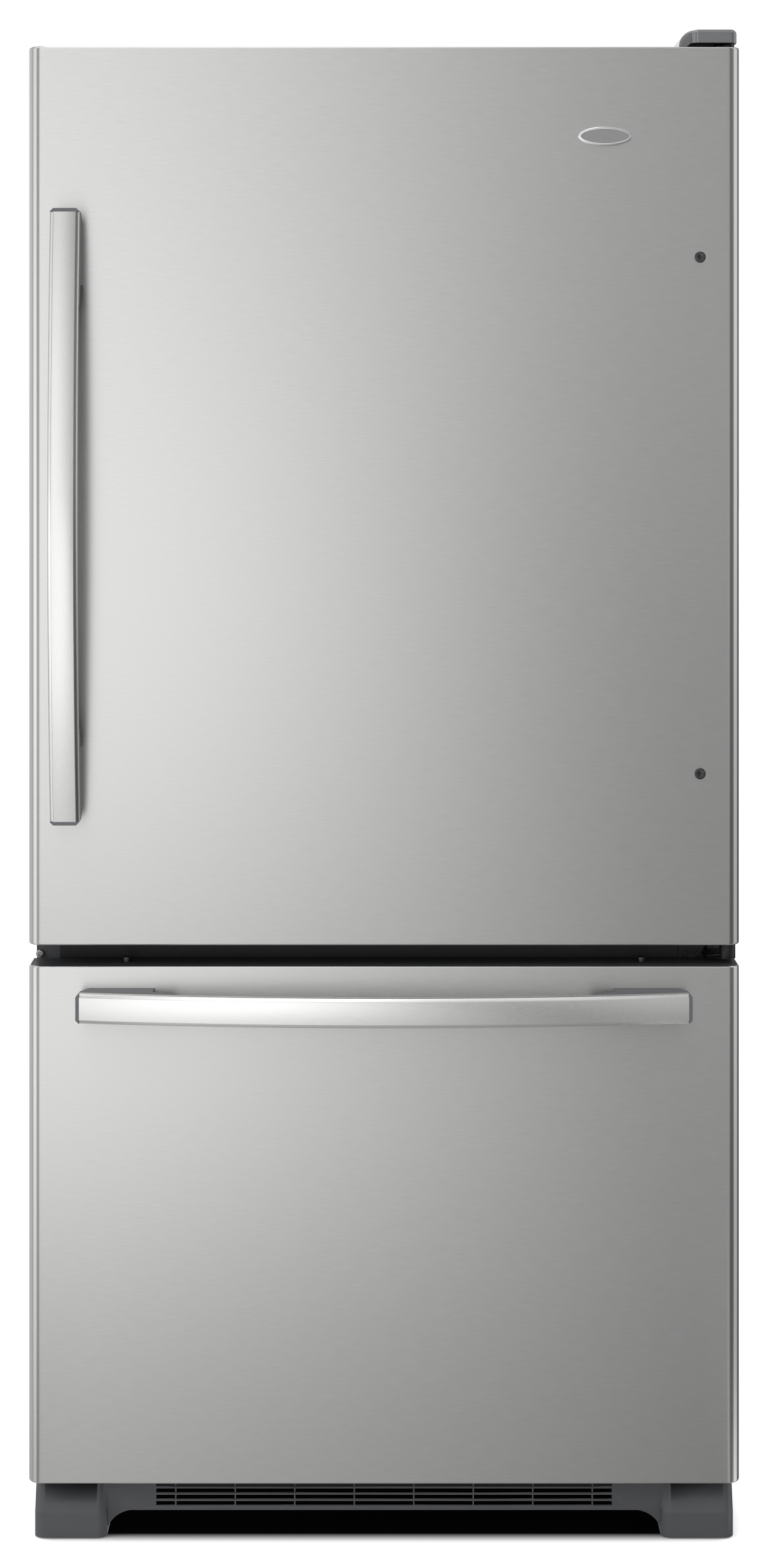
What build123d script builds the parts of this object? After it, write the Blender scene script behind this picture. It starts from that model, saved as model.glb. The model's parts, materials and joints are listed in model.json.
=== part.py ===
"""Bottom freezer refrigerator: one hinged fridge door over one freezer drawer.

Frame: millimetres, +Z up, the front faces -Y, +X is to the right seen from the front.
The origin is on the floor, under the middle of the whole object.
"""
import os
from math import sqrt

from build123d import *

os.makedirs("parts", exist_ok=True)

# ---------------------------------------------------------------- driving dimensions
# Widths
door_width = 832.0
door_overhang = 3.0
cabinet_width = door_width - 2 * door_overhang
# Heights above the floor
cabinet_top_z = 1748.0
door_top_z = cabinet_top_z - 1.5
door_height = 1049.0
door_bottom_z = door_top_z - door_height
drawer_gap = 24.5
drawer_top_z = door_bottom_z - drawer_gap
drawer_bottom_z = 69.0
cabinet_bottom_z = 30.0
pan_z = 70.0
# Depths
handle_reach = 65.0
door_thickness = 56.0
gasket_gap = 10.0
cabinet_depth = 695.0
# Sheet and wall thicknesses
skin_thickness = 0.8
steel_thickness = 1.0
liner_thickness = 2.0
plate_thickness = 3.0
fridge_side_foam = 45.0
freezer_side_foam = 60.0
rear_foam = 59.0
# Clearances
gap = 0.4
bearing_clearance = 0.06
seal_gap = 0.2

# Depth stations, front to back
total_depth = handle_reach + door_thickness + gasket_gap + cabinet_depth
front_y = -total_depth / 2
door_front_y = front_y + handle_reach
door_back_y = door_front_y + door_thickness
cabinet_front_y = door_back_y + gasket_gap
cabinet_back_y = cabinet_front_y + cabinet_depth
flange_back_y = cabinet_front_y + steel_thickness

# Doors
door_corner_radius = 16.0
skin_return = 12.0
cap_depth = 14.0
cap_recess = 0.6
cap_plate = 2.5
cap_wall = 2.5

# Handles
handle_length = 713.0
handle_width = 34.0
handle_bow = 27.0
bar_thickness = 12.0
bar_wall = 2.0
bar_chamfer = 4.0
handle_cap_length = 4.2
mount_width = 34.0
mount_length_at_bar = 108.0
mount_length_at_door = 84.0
mount_end_slope = 9.0
mount_edge = 4.0
mount_flare_reach = 9.0
mount_flare_drop = 13.0
door_handle_inset = 47.0
door_handle_drop = 190.5
drawer_handle_drop = 42.0
door_handle_x = door_handle_inset - door_width / 2
door_handle_z = door_top_z - door_handle_drop - handle_length / 2
drawer_handle_z = drawer_top_z - drawer_handle_drop
handle_screw_inset = 55.0
handle_screw_spacing = handle_length - 2 * handle_screw_inset
handle_screw_radius = 6.5

# Screws that fill the handle holes on the hinge side
plug_head = 2.0
plug_shank_radius = 4.5
plug_shank_length = 14.0
plug_cross = (5.2, 1.3)
plug_cross_depth = 1.2

# Gaskets, and the inner panels that hold them
gasket_side_margin = 18.0
gasket_end_margin = 7.5
gasket_width = 22.0
gasket_bulb = 14.0
gasket_base = 3.0
gasket_corner = 6.0
liner_edge_margin = 8.0
gasket_half = door_width / 2 - gasket_side_margin

# Dikes of the door's inner panel, which stand into the fridge and carry the bins
dike_clearance = 20.0
dike_width = 30.0
dike_depth = 75.0
dike_radius = 16.0

# Raised field of the drawer's inner panel
field_side_margin = 116.0
field_half = door_width / 2 - field_side_margin
field_z = (drawer_bottom_z + 56.0, drawer_top_z - 33.0)
field_depth = 24.0

# Door hinge
hinge_edge = 12.0
hinge_x = door_width / 2 - hinge_edge
hinge_inset = 28.0
hinge_y = door_front_y + hinge_inset
pin_radius = 5.0
pin_engagement = 20.0
bush_radius = 8.0
bush_flange_radius = 11.0
bush_flange_height = 1.2
knuckle_radius = 9.5

# Cabinet front frame
flange_width = 27.0
bottom_rail_top_z = 110.0
mullion_bottom_z = drawer_top_z - 20.0
mullion_top_z = door_bottom_z + 23.5
mullion_side_gap = 0.5

# Fridge compartment, clear inside
fridge_floor_z = mullion_top_z + 6.0
fridge_ceiling_z = cabinet_top_z - 43.0
fridge_back_y = cabinet_back_y - steel_thickness - rear_foam - liner_thickness - 1.0
fridge_half = cabinet_width / 2 - steel_thickness - fridge_side_foam - liner_thickness
# Freezer compartment, clear inside
freezer_floor_z = bottom_rail_top_z + 2.0
freezer_ceiling_z = mullion_bottom_z - 3.0
freezer_half = cabinet_width / 2 - steel_thickness - freezer_side_foam - liner_thickness
freezer_step_z = 330.0
step_foam = 38.0
machine_depth = 228.0
machine_front_foam = 47.0
rear_stop = 18.0
tray_z = 36.0
tray_sheet = 2.0
liner_radius = 14.0
liner_flange = 14.0

dike_half = fridge_half - dike_clearance
dike_z = (fridge_floor_z + 18.0, fridge_ceiling_z - 15.0)
dike_back_y = door_back_y + dike_depth
field_back_y = door_back_y + field_depth
door_gasket_z = (door_bottom_z + gasket_end_margin, door_top_z - gasket_end_margin - 5.0)
drawer_gasket_z = (drawer_bottom_z + 2 * gasket_end_margin, drawer_top_z - 5.0)

machine_front_y = cabinet_back_y - machine_depth
machine_roof_z = freezer_step_z - liner_thickness - step_foam
freezer_low_back_y = machine_front_y - machine_front_foam - liner_thickness
rear_panel_y = cabinet_back_y - 2 * steel_thickness
rear_stop_y = cabinet_back_y - rear_stop
tray_top = tray_z + tray_sheet

shell_corner = 4.0
shell_half = cabinet_width / 2
shell_inner_half = shell_half - steel_thickness
opening_half = shell_half - flange_width
opening_top_z = cabinet_top_z - flange_width


# ---------------------------------------------------------------- shared shapes
def block(x0, x1, y0, y1, z0, z1, mode=Mode.ADD):
    """A box given by its low and high corner values."""
    with Locations(((x0 + x1) / 2, (y0 + y1) / 2, (z0 + z1) / 2)):
        Box(x1 - x0, y1 - y0, z1 - z0, mode=mode)


def sided(side, near, far):
    """Low and high x of a stretch that lies between two distances from the middle."""
    return sorted((side * near, side * far))


def upright(y):
    """A vertical sketch plane at depth y: X to the right, Z up, normal to the front."""
    return Plane.XZ.offset(-y)


def rounded_block(half, y0, y1, z0, z1, radius, mode=Mode.ADD):
    """A block centred on x = 0 with rounded edges along its depth."""
    with BuildSketch(upright(y0)) as face:
        with Locations((0, (z0 + z1) / 2)):
            RectangleRounded(2 * half, z1 - z0, radius)
    extrude(face.sketch, amount=-(y1 - y0), mode=mode)


def tub(x0, x1, y0, y1, z0, z1, wall, radius):
    """An open-topped tub with rounded upright corners."""
    middle = ((x0 + x1) / 2, (y0 + y1) / 2)
    with BuildSketch(Plane.XY.offset(z0)) as outside:
        with Locations(middle):
            RectangleRounded(x1 - x0, y1 - y0, radius)
    extrude(outside.sketch, amount=z1 - z0)
    with BuildSketch(Plane.XY.offset(z0 + wall)) as inside:
        with Locations(middle):
            RectangleRounded(x1 - x0 - 2 * wall, y1 - y0 - 2 * wall, radius - wall)
    extrude(inside.sketch, amount=z1 - z0, mode=Mode.SUBTRACT)


def upright_rod(x, y, z0, z1, radius, mode=Mode.ADD):
    """A round rod along Z."""
    with BuildSketch(Plane.XY.offset(z0)) as end:
        with Locations((x, y)):
            Circle(radius)
    extrude(end.sketch, amount=z1 - z0, mode=mode)


def depth_rod(x, y0, y1, z, radius, mode=Mode.ADD):
    """A round rod along Y."""
    with BuildSketch(upright(y0)) as end:
        with Locations((x, z)):
            Circle(radius)
    extrude(end.sketch, amount=-(y1 - y0), mode=mode)


def cross_rod(x0, x1, y, z, radius, mode=Mode.ADD):
    """A round rod along X."""
    with BuildSketch(Plane.YZ.offset(x0)) as end:
        with Locations((y, z)):
            Circle(radius)
    extrude(end.sketch, amount=x1 - x0, mode=mode)


# ---------------------------------------------------------------- door and drawer panels
def panel_plan(z, inset=0.0):
    """Plan outline of a door: flat front, rounded front corners, straight sides and back."""
    front = door_front_y + inset
    back = door_back_y - inset
    with BuildSketch(Plane.XY.offset(z)) as plan:
        with Locations((0, (front + back) / 2)):
            Rectangle(door_width - 2 * inset, back - front)
        fillet(plan.vertices().group_by(Axis.Y)[0], door_corner_radius - inset)
    return plan.sketch


def panel_skin(z0, z1):
    """Wrap-round sheet skin with a narrow return along the back."""
    extrude(panel_plan(z0), amount=z1 - z0)
    extrude(panel_plan(z0, skin_thickness), amount=z1 - z0, mode=Mode.SUBTRACT)
    back_opening = door_width / 2 - skin_return
    block(-back_opening, back_opening, door_back_y - 2 * skin_thickness, door_back_y, z0, z1,
          Mode.SUBTRACT)


def panel_caps(z0, z1):
    """Moulded trays that close the lower and upper ends of a skin."""
    for end_z, inward in ((z0, 1), (z1, -1)):
        outer_z = end_z + inward * cap_recess
        extrude(panel_plan(outer_z, skin_thickness), amount=inward * (cap_depth - cap_recess))
        extrude(panel_plan(outer_z + inward * cap_plate, skin_thickness + cap_wall),
                amount=inward * cap_depth, mode=Mode.SUBTRACT)


def panel_core(z0, z1):
    """Insulation inside a skin, between its end caps."""
    extrude(panel_plan(z0 + cap_depth, skin_thickness), amount=z1 - z0 - 2 * cap_depth)
    core_half = door_width / 2 - skin_return
    block(-core_half, core_half, door_back_y - 2 * skin_thickness, door_back_y,
          z0 + cap_depth, z1 - cap_depth)


def panel_gasket(z0, z1):
    """Rectangular sealing frame between a door and the cabinet."""
    y0 = door_back_y + liner_thickness
    y1 = cabinet_front_y - seal_gap
    middle_z = (z0 + z1) / 2
    for depth0, depth1, width in ((y0, y0 + gasket_base, gasket_width), (y0, y1, gasket_bulb)):
        centre_half = gasket_half - gasket_width / 2
        centre_height = (z1 - z0) / 2 - gasket_width / 2
        with BuildSketch(upright(depth0)) as ring:
            with Locations((0, middle_z)):
                RectangleRounded(2 * centre_half + width, 2 * centre_height + width, gasket_corner)
                Rectangle(2 * centre_half - width, 2 * centre_height - width, mode=Mode.SUBTRACT)
        extrude(ring.sketch, amount=-(depth1 - depth0))



def dike_ring(y0, y1, shrink, mode=Mode.ADD):
    """The frame-shaped ridge of the door liner, or with a shrink its hollow."""
    low, high = dike_z
    width = 2 * dike_half
    with BuildSketch(upright(y0)) as ring:
        with Locations((0, (low + high) / 2)):
            RectangleRounded(width - 2 * shrink, high - low - 2 * shrink, dike_radius - shrink)
            Rectangle(width - 2 * dike_width + 2 * shrink,
                      high - low - 2 * dike_width + 2 * shrink, mode=Mode.SUBTRACT)
    extrude(ring.sketch, amount=-(y1 - y0), mode=mode)


bush_points = [(side * hinge_x, z, inward) for side in (-1, 1)
               for z, inward in ((door_bottom_z, 1), (door_top_z, -1))]
bush_depth = pin_engagement + 6.0


def bush_body(x, z, inward, radius, mode=Mode.ADD):
    """A plain round plug that starts at the door's end face and runs into the door."""
    low, high = sorted((z + inward * cap_recess, z + inward * bush_depth))
    upright_rod(x, hinge_y, low, high, radius, mode)


# ---------------------------------------------------------------- fridge door
with BuildPart() as door_skin:
    panel_skin(door_bottom_z, door_top_z)
    for z_side in (-1, 1):
        screw_z = door_handle_z + z_side * handle_screw_spacing / 2
        depth_rod(-door_handle_x, door_front_y - 1, door_front_y + skin_thickness + 1, screw_z,
                  plug_shank_radius, Mode.SUBTRACT)
door_skin.part.label = "door_skin"
export_step(door_skin.part, "parts/door_skin.step")

with BuildPart() as door_end_caps:
    panel_caps(door_bottom_z, door_top_z)
    for x, z, inward in bush_points:
        bush_body(x, z, inward, bush_radius, Mode.SUBTRACT)
door_end_caps.part.label = "door_end_caps"
export_step(door_end_caps.part, "parts/door_end_caps.step")

with BuildPart() as door_hinge_bushes:
    for x, z, inward in bush_points:
        bush_body(x, z, inward, bush_radius)
        flange_low, flange_high = sorted((z + inward * cap_recess, z - inward * bush_flange_height))
        upright_rod(x, hinge_y, flange_low, flange_high, bush_flange_radius)
        if x > 0:
            bore_low, bore_high = sorted((z - inward * bush_flange_height, z + inward * (bush_depth - 2)))
            upright_rod(x, hinge_y, bore_low, bore_high, pin_radius + bearing_clearance, Mode.SUBTRACT)
door_hinge_bushes.part.label = "door_hinge_bushes"
export_step(door_hinge_bushes.part, "parts/door_hinge_bushes.step")

# Cross-head screws that fill the handle holes on the hinge side
with BuildPart() as door_plug_screws:
    for z_side in (-1, 1):
        screw_z = door_handle_z + z_side * handle_screw_spacing / 2
        depth_rod(-door_handle_x, door_front_y - plug_head, door_front_y, screw_z,
                  handle_screw_radius)
        depth_rod(-door_handle_x, door_front_y, door_front_y + plug_shank_length, screw_z,
                  plug_shank_radius)
    heads = door_plug_screws.edges().filter_by(GeomType.CIRCLE).group_by(Axis.Y)[0]
    fillet(heads, plug_head * 0.6)
    for z_side in (-1, 1):
        screw_z = door_handle_z + z_side * handle_screw_spacing / 2
        for width, height in (plug_cross, plug_cross[::-1]):
            with Locations((-door_handle_x, door_front_y - plug_head, screw_z)):
                Box(width, 2 * plug_cross_depth, height, mode=Mode.SUBTRACT)
door_plug_screws.part.label = "door_plug_screws"
export_step(door_plug_screws.part, "parts/door_plug_screws.step")

with BuildPart() as door_liner:
    edge = liner_edge_margin
    rounded_block(door_width / 2 - edge, door_back_y, door_back_y + liner_thickness,
                  door_bottom_z + edge, door_top_z - edge, gasket_corner)
    dike_ring(door_back_y, dike_back_y, 0)
    dike_ring(door_back_y, dike_back_y - liner_thickness, liner_thickness, Mode.SUBTRACT)
door_liner.part.label = "door_liner"
export_step(door_liner.part, "parts/door_liner.step")

with BuildPart() as door_foam:
    panel_core(door_bottom_z, door_top_z)
    dike_ring(door_back_y, dike_back_y - liner_thickness, liner_thickness)
    for x, z, inward in bush_points:
        bush_body(x, z, inward, bush_radius, Mode.SUBTRACT)
    add(door_plug_screws.part, mode=Mode.SUBTRACT)
door_foam.part.label = "door_foam"
export_step(door_foam.part, "parts/door_foam.step")

with BuildPart() as door_gasket:
    panel_gasket(*door_gasket_z)
door_gasket.part.label = "door_gasket"
export_step(door_gasket.part, "parts/door_gasket.step")

# ---------------------------------------------------------------- door bins and dairy box
bin_half = dike_half - dike_width - gap
bin_front_y = door_back_y + liner_thickness
bin_depth = 108.0
bin_back_y = bin_front_y + bin_depth
bin_wall = 2.6
bin_radius = 14.0
bin_floors = (dike_z[0] + 55.0, dike_z[0] + 345.0, dike_z[0] + 585.0)
bin_heights = (120.0, 95.0, 95.0)
dairy_height = 104.0
dairy_roof_z = dike_z[1] - 50.0
dairy_floor_z = dairy_roof_z - dairy_height
dairy_right_x = -14.0
dairy_depth = 92.0
dairy_back_y = bin_front_y + dairy_depth
lid_thickness = 2.5
lid_ear = 5.0
lid_pivot_z = dairy_roof_z - lid_ear
lid_pivot_y = dairy_back_y + 4.0
lid_pin_radius = 2.2
lid_foot_z = dairy_floor_z + 4.0
lid_lip_inset = 60.0
lid_lip_depth = 9.0

with BuildPart() as door_bins:
    for floor_z, height in zip(bin_floors, bin_heights):
        tub(-bin_half, bin_half, bin_front_y, bin_back_y, floor_z, floor_z + height,
            bin_wall, bin_radius)
    # Dairy box, open to the inside of the fridge, where its lid hangs
    block(-bin_half, dairy_right_x, bin_front_y, dairy_back_y, dairy_floor_z, dairy_roof_z)
    block(-bin_half + bin_wall, dairy_right_x - bin_wall, bin_front_y + bin_wall, dairy_back_y,
          dairy_floor_z + bin_wall, dairy_roof_z - bin_wall, Mode.SUBTRACT)
    # Ears that hold the lid's pins
    for x0, x1 in ((-bin_half, -bin_half + bin_wall), (dairy_right_x - bin_wall, dairy_right_x)):
        block(x0, x1, dairy_back_y - 1, lid_pivot_y + lid_ear, lid_pivot_z - lid_ear,
              lid_pivot_z + lid_ear)
    cross_rod(-bin_half - 1, dairy_right_x + 1, lid_pivot_y, lid_pivot_z,
              lid_pin_radius + bearing_clearance, Mode.SUBTRACT)
door_bins.part.label = "door_bins"
export_step(door_bins.part, "parts/door_bins.step")

with BuildPart() as dairy_lid:
    lid_x0 = -bin_half + bin_wall + gap
    lid_x1 = dairy_right_x - bin_wall - gap
    block(lid_x0, lid_x1, lid_pivot_y - lid_thickness / 2, lid_pivot_y + lid_thickness / 2,
          lid_foot_z, lid_pivot_z)
    cross_rod(lid_x0, lid_x1, lid_pivot_y, lid_pivot_z, lid_thickness)
    cross_rod(-bin_half + gap, dairy_right_x - gap, lid_pivot_y, lid_pivot_z, lid_pin_radius)
    # Finger lip along the lower edge
    block(lid_x0 + lid_lip_inset, lid_x1 - lid_lip_inset, lid_pivot_y, lid_pivot_y + lid_lip_depth,
          lid_foot_z, lid_foot_z + lid_thickness)
dairy_lid.part.label = "dairy_lid"
export_step(dairy_lid.part, "parts/dairy_lid.step")


# ---------------------------------------------------------------- handles
def handle_side(place):
    """Plane of a handle's side outline: along the bar, then out from the door."""
    return Plane(origin=place.origin, x_dir=place.x_dir, z_dir=-place.y_dir)


bar_half = handle_length / 2 - handle_cap_length
end_reach = handle_reach - handle_bow
bow_radius = (bar_half**2 + handle_bow**2) / (2 * handle_bow)


def bow_height(along, drop=0.0):
    """Distance of the bar's front from the door, less a drop, at a place along the bar."""
    return handle_reach - bow_radius + sqrt(bow_radius**2 - along**2) - drop


def bar_strip(place, top_drop, bottom_drop, width, mode=Mode.ADD):
    """A bowed strip between two depths below the bar's front face."""
    with BuildSketch(handle_side(place)) as strip:
        with BuildLine():
            front = ThreePointArc(*((x, bow_height(x, top_drop)) for x in (-bar_half, 0, bar_half)))
            back = ThreePointArc(*((x, bow_height(x, bottom_drop)) for x in (-bar_half, 0, bar_half)))
            Line(front @ 0, back @ 0)
            Line(front @ 1, back @ 1)
        make_face()
    extrude(strip.sketch, amount=width / 2, both=True, mode=mode)


def handle_bar(place):
    """Hollow bowed bar with chamfered long edges."""
    bar_strip(place, 0, bar_thickness, handle_width)


def handle_mounts(place):
    """End mounts: a foot on the door, a saddle under the bar and a cap on the bar's end."""
    for end in (-1, 1):
        outer = end * bar_half
        foot_outer = end * (bar_half - mount_end_slope)
        foot_inner = end * (bar_half - mount_length_at_door)
        inner = end * (bar_half - mount_length_at_bar)
        middle = (outer + inner) / 2
        with BuildSketch(handle_side(place)) as mount:
            with BuildLine():
                saddle = ThreePointArc(*((x, bow_height(x, bar_thickness))
                                         for x in (outer, middle, inner)))
                edge_end = (inner, bow_height(inner, bar_thickness + mount_edge))
                Line(saddle @ 1, edge_end)
                flare = ThreePointArc(
                    edge_end,
                    (inner + end * mount_flare_reach, bow_height(inner, bar_thickness + mount_flare_drop)),
                    (foot_inner, bow_height(inner, bar_thickness + mount_flare_drop + mount_edge)))
                Polyline(flare @ 1, (foot_inner, 0), (foot_outer, 0),
                         (end * handle_length / 2, end_reach - bar_thickness), saddle @ 0)
            make_face()
        extrude(mount.sketch, amount=mount_width / 2, both=True)
        # Cap on the end of the bar
        low, high = sorted((outer, end * handle_length / 2))
        with BuildSketch(handle_side(place)) as cap:
            with Locations(((low + high) / 2, end_reach - bar_thickness / 2)):
                Rectangle(high - low, bar_thickness)
        extrude(cap.sketch, amount=handle_width / 2, both=True)


door_handle_place = Plane(origin=(door_handle_x, door_front_y, door_handle_z),
                          x_dir=(0, 0, 1), z_dir=(0, -1, 0))
drawer_handle_place = Plane(origin=(0, door_front_y, drawer_handle_z),
                            x_dir=(1, 0, 0), z_dir=(0, -1, 0))

with BuildPart() as door_handle:
    handle_bar(door_handle_place)
    chamfer(door_handle.edges().filter_by(GeomType.CIRCLE).group_by(Axis.Y)[0], bar_chamfer)
    bar_strip(door_handle_place, bar_wall, bar_thickness - bar_wall,
              handle_width - 2 * bar_chamfer, Mode.SUBTRACT)
door_handle.part.label = "door_handle"
export_step(door_handle.part, "parts/door_handle.step")

with BuildPart() as door_handle_mounts:
    handle_mounts(door_handle_place)
    ends = door_handle_mounts.edges().filter_by(Axis.Y).filter_by(
        lambda edge: abs(abs(edge.center().Z - door_handle_z) - handle_length / 2) < 0.01)
    chamfer(ends, bar_chamfer - 0.2)
door_handle_mounts.part.label = "door_handle_mounts"
export_step(door_handle_mounts.part, "parts/door_handle_mounts.step")

with BuildPart() as drawer_handle:
    handle_bar(drawer_handle_place)
    chamfer(drawer_handle.edges().filter_by(GeomType.CIRCLE).group_by(Axis.Y)[0], bar_chamfer)
    bar_strip(drawer_handle_place, bar_wall, bar_thickness - bar_wall,
              handle_width - 2 * bar_chamfer, Mode.SUBTRACT)
drawer_handle.part.label = "drawer_handle"
export_step(drawer_handle.part, "parts/drawer_handle.step")

with BuildPart() as drawer_handle_mounts:
    handle_mounts(drawer_handle_place)
    ends = drawer_handle_mounts.edges().filter_by(Axis.Y).filter_by(
        lambda edge: abs(abs(edge.center().X) - handle_length / 2) < 0.01)
    chamfer(ends, bar_chamfer - 0.2)
drawer_handle_mounts.part.label = "drawer_handle_mounts"
export_step(drawer_handle_mounts.part, "parts/drawer_handle_mounts.step")

# ---------------------------------------------------------------- freezer drawer
with BuildPart() as drawer_skin:
    panel_skin(drawer_bottom_z, drawer_top_z)
drawer_skin.part.label = "drawer_skin"
export_step(drawer_skin.part, "parts/drawer_skin.step")

with BuildPart() as drawer_end_caps:
    panel_caps(drawer_bottom_z, drawer_top_z)
drawer_end_caps.part.label = "drawer_end_caps"
export_step(drawer_end_caps.part, "parts/drawer_end_caps.step")

with BuildPart() as drawer_liner:
    edge = liner_edge_margin
    rounded_block(door_width / 2 - edge, door_back_y, door_back_y + liner_thickness,
                  drawer_bottom_z + edge, drawer_top_z - edge, gasket_corner)
    rounded_block(field_half, door_back_y, field_back_y, *field_z, dike_radius)
    rounded_block(field_half - liner_thickness, door_back_y, field_back_y - liner_thickness,
                  field_z[0] + liner_thickness, field_z[1] - liner_thickness,
                  dike_radius - liner_thickness, Mode.SUBTRACT)
drawer_liner.part.label = "drawer_liner"
export_step(drawer_liner.part, "parts/drawer_liner.step")

with BuildPart() as drawer_foam:
    panel_core(drawer_bottom_z, drawer_top_z)
    rounded_block(field_half - liner_thickness, door_back_y, field_back_y - liner_thickness,
                  field_z[0] + liner_thickness, field_z[1] - liner_thickness,
                  dike_radius - liner_thickness)
drawer_foam.part.label = "drawer_foam"
export_step(drawer_foam.part, "parts/drawer_foam.step")

with BuildPart() as drawer_gasket:
    panel_gasket(*drawer_gasket_z)
drawer_gasket.part.label = "drawer_gasket"
export_step(drawer_gasket.part, "parts/drawer_gasket.step")

# ---------------------------------------------------------------- drawer slides and baskets
slide_z = freezer_step_z + 42.0
slide_height = 42.0
slide_sheet = 1.5
slide_gap = 0.6
slide_lip = 9.0
slide_front_y = cabinet_front_y + 10.0
outer_slide_length = 460.0
middle_slide_length = 440.0
inner_slide_length = 420.0
basket_side_room = 28.0
basket_half = freezer_half - basket_side_room
basket_rim = 13.0
basket_front_y = door_back_y + liner_thickness + 30.0
basket_wall = 3.0
basket_radius = 18.0
basket_rim_margin = 20.0
lower_basket_z = (freezer_floor_z + 13.0, slide_z - 8.0)
lower_basket_back_y = freezer_low_back_y - 10.0
upper_basket_height = 77.0
upper_basket_z = (lower_basket_z[1] + 36.0, lower_basket_z[1] + 36.0 + upper_basket_height)
upper_basket_back_y = lower_basket_back_y - 17.0
ledge_thickness = 2.0
slot_pitch = 40.0
slot_width = 24.0
slot_end_margin = 30.0
slot_margin_z = 20.0


def slide_member(side, level, length):
    """One C-shaped member of a telescopic slide, nested by its level, lips towards the middle."""
    step = slide_sheet + slide_gap
    height = slide_height - 2 * level * step
    back = freezer_half - level * step
    lip = back - slide_lip
    x0, x1 = sided(side, lip, back)
    web0, web1 = sided(side, lip - slide_sheet, back - slide_sheet)
    y1 = slide_front_y + length
    block(x0, x1, slide_front_y, y1, slide_z - height / 2, slide_z + height / 2)
    block(web0, web1, slide_front_y, y1, slide_z - height / 2 + slide_sheet,
          slide_z + height / 2 - slide_sheet, Mode.SUBTRACT)


with BuildPart() as slide_outer_rails:
    for side in (-1, 1):
        slide_member(side, 0, outer_slide_length)
slide_outer_rails.part.label = "slide_outer_rails"
export_step(slide_outer_rails.part, "parts/slide_outer_rails.step")

with BuildPart() as slide_middle_rails:
    for side in (-1, 1):
        slide_member(side, 1, middle_slide_length)
slide_middle_rails.part.label = "slide_middle_rails"
export_step(slide_middle_rails.part, "parts/slide_middle_rails.step")

# Welded frame of the drawer: inner slide members, front brackets, basket ledges, upper runners
web_thickness = 2.0
ledge_outer = freezer_half - 2 * (slide_sheet + slide_gap) - slide_lip + web_thickness / 2
ledge_inner = basket_half + 4.0
frame_bracket_z = (slide_z - 72.0, slide_z + 118.0)
frame_bracket_outer = freezer_half - 4.0
web_margin_low = 6.0
web_margin_high = slide_sheet + 2 * (slide_sheet + slide_gap) - 1.5
runner_height = 6.0
rear_post_depth = 16.0
runner_z = upper_basket_z[1] - basket_wall - gap - runner_height

with BuildPart() as drawer_frame:
    for side in (-1, 1):
        slide_member(side, 2, inner_slide_length)
        inner_end_y = slide_front_y + inner_slide_length
        ledge_x = sided(side, ledge_inner, ledge_outer)
        ledge_top = lower_basket_z[1] - basket_wall - gap
        # The C's mouth is bridged by a web that carries the ledge
        web_x = sided(side, ledge_outer - web_thickness, ledge_outer)
        block(*web_x, slide_front_y, inner_end_y, slide_z - slide_height / 2 + web_margin_low,
              slide_z + slide_height / 2 - web_margin_high)
        block(*ledge_x, slide_front_y, inner_end_y, ledge_top - ledge_thickness, ledge_top)
        plate_y0 = door_back_y + liner_thickness
        block(*sided(side, ledge_inner, frame_bracket_outer), plate_y0, plate_y0 + plate_thickness,
              *frame_bracket_z)
        block(*web_x, plate_y0, slide_front_y + 4 * web_thickness, *frame_bracket_z)
        block(*ledge_x, plate_y0, lower_basket_back_y, runner_z, runner_z + runner_height)
        block(*web_x, lower_basket_back_y - rear_post_depth, lower_basket_back_y, slide_z,
              runner_z + runner_height / 2)
drawer_frame.part.label = "drawer_frame"
export_step(drawer_frame.part, "parts/drawer_frame.step")


def basket(z0, z1, back_y):
    """A tub with a rim that hangs on the drawer frame."""
    tub(-basket_half, basket_half, basket_front_y, back_y, z0, z1, basket_wall, basket_radius)
    for side in (-1, 1):
        block(*sided(side, basket_half - basket_wall / 2, basket_half + basket_rim),
              basket_front_y + basket_rim_margin, back_y - basket_rim_margin, z1 - basket_wall, z1)


with BuildPart() as lower_basket:
    basket(*lower_basket_z, lower_basket_back_y)
lower_basket.part.label = "lower_basket"
export_step(lower_basket.part, "parts/lower_basket.step")

with BuildPart() as upper_basket:
    basket(*upper_basket_z, upper_basket_back_y)
    across = int(2 * (basket_half - slot_end_margin) / slot_pitch)
    basket_depth = upper_basket_back_y - basket_front_y
    along = int((basket_depth - 2 * slot_end_margin) / slot_pitch)
    slot_height = upper_basket_height - 2 * slot_margin_z
    with Locations((0, basket_front_y + basket_depth / 2, sum(upper_basket_z) / 2)):
        with GridLocations(slot_pitch, 1, across, 1):
            Box(slot_width, 2 * basket_depth, slot_height, mode=Mode.SUBTRACT)
        with GridLocations(1, slot_pitch, 1, along):
            Box(4 * basket_half, slot_width, slot_height, mode=Mode.SUBTRACT)
upper_basket.part.label = "upper_basket"
export_step(upper_basket.part, "parts/upper_basket.step")

# ---------------------------------------------------------------- hinges and their screws
hinge_plate_z = cabinet_top_z
hinge_plate_x = (hinge_x - 50.0, hinge_x + 5.0)
hinge_plate_back_y = cabinet_front_y + 92.0
screw_radius = 2.5
screw_head_radius = 5.0
screw_head_height = 4.0
screw_length = 14.0
top_screw_points = [(hinge_x - 40.0, cabinet_front_y + 24.0), (hinge_x - 40.0, cabinet_front_y + 78.0),
                    (hinge_x - 6.0, cabinet_front_y + 78.0)]
centre_arm_z = door_bottom_z - 19.5
centre_arm_thickness = 4.0
centre_flange_x = (hinge_x - 54.0, hinge_x - 20.0)
centre_flange_z = (centre_arm_z - 12.0, centre_arm_z + 12.0)
centre_screw_x = (hinge_x - 46.0, hinge_x - 30.0)
spare_screw_x = 7.0 - shell_half
front_screw_z = centre_arm_z - 2.0
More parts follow.
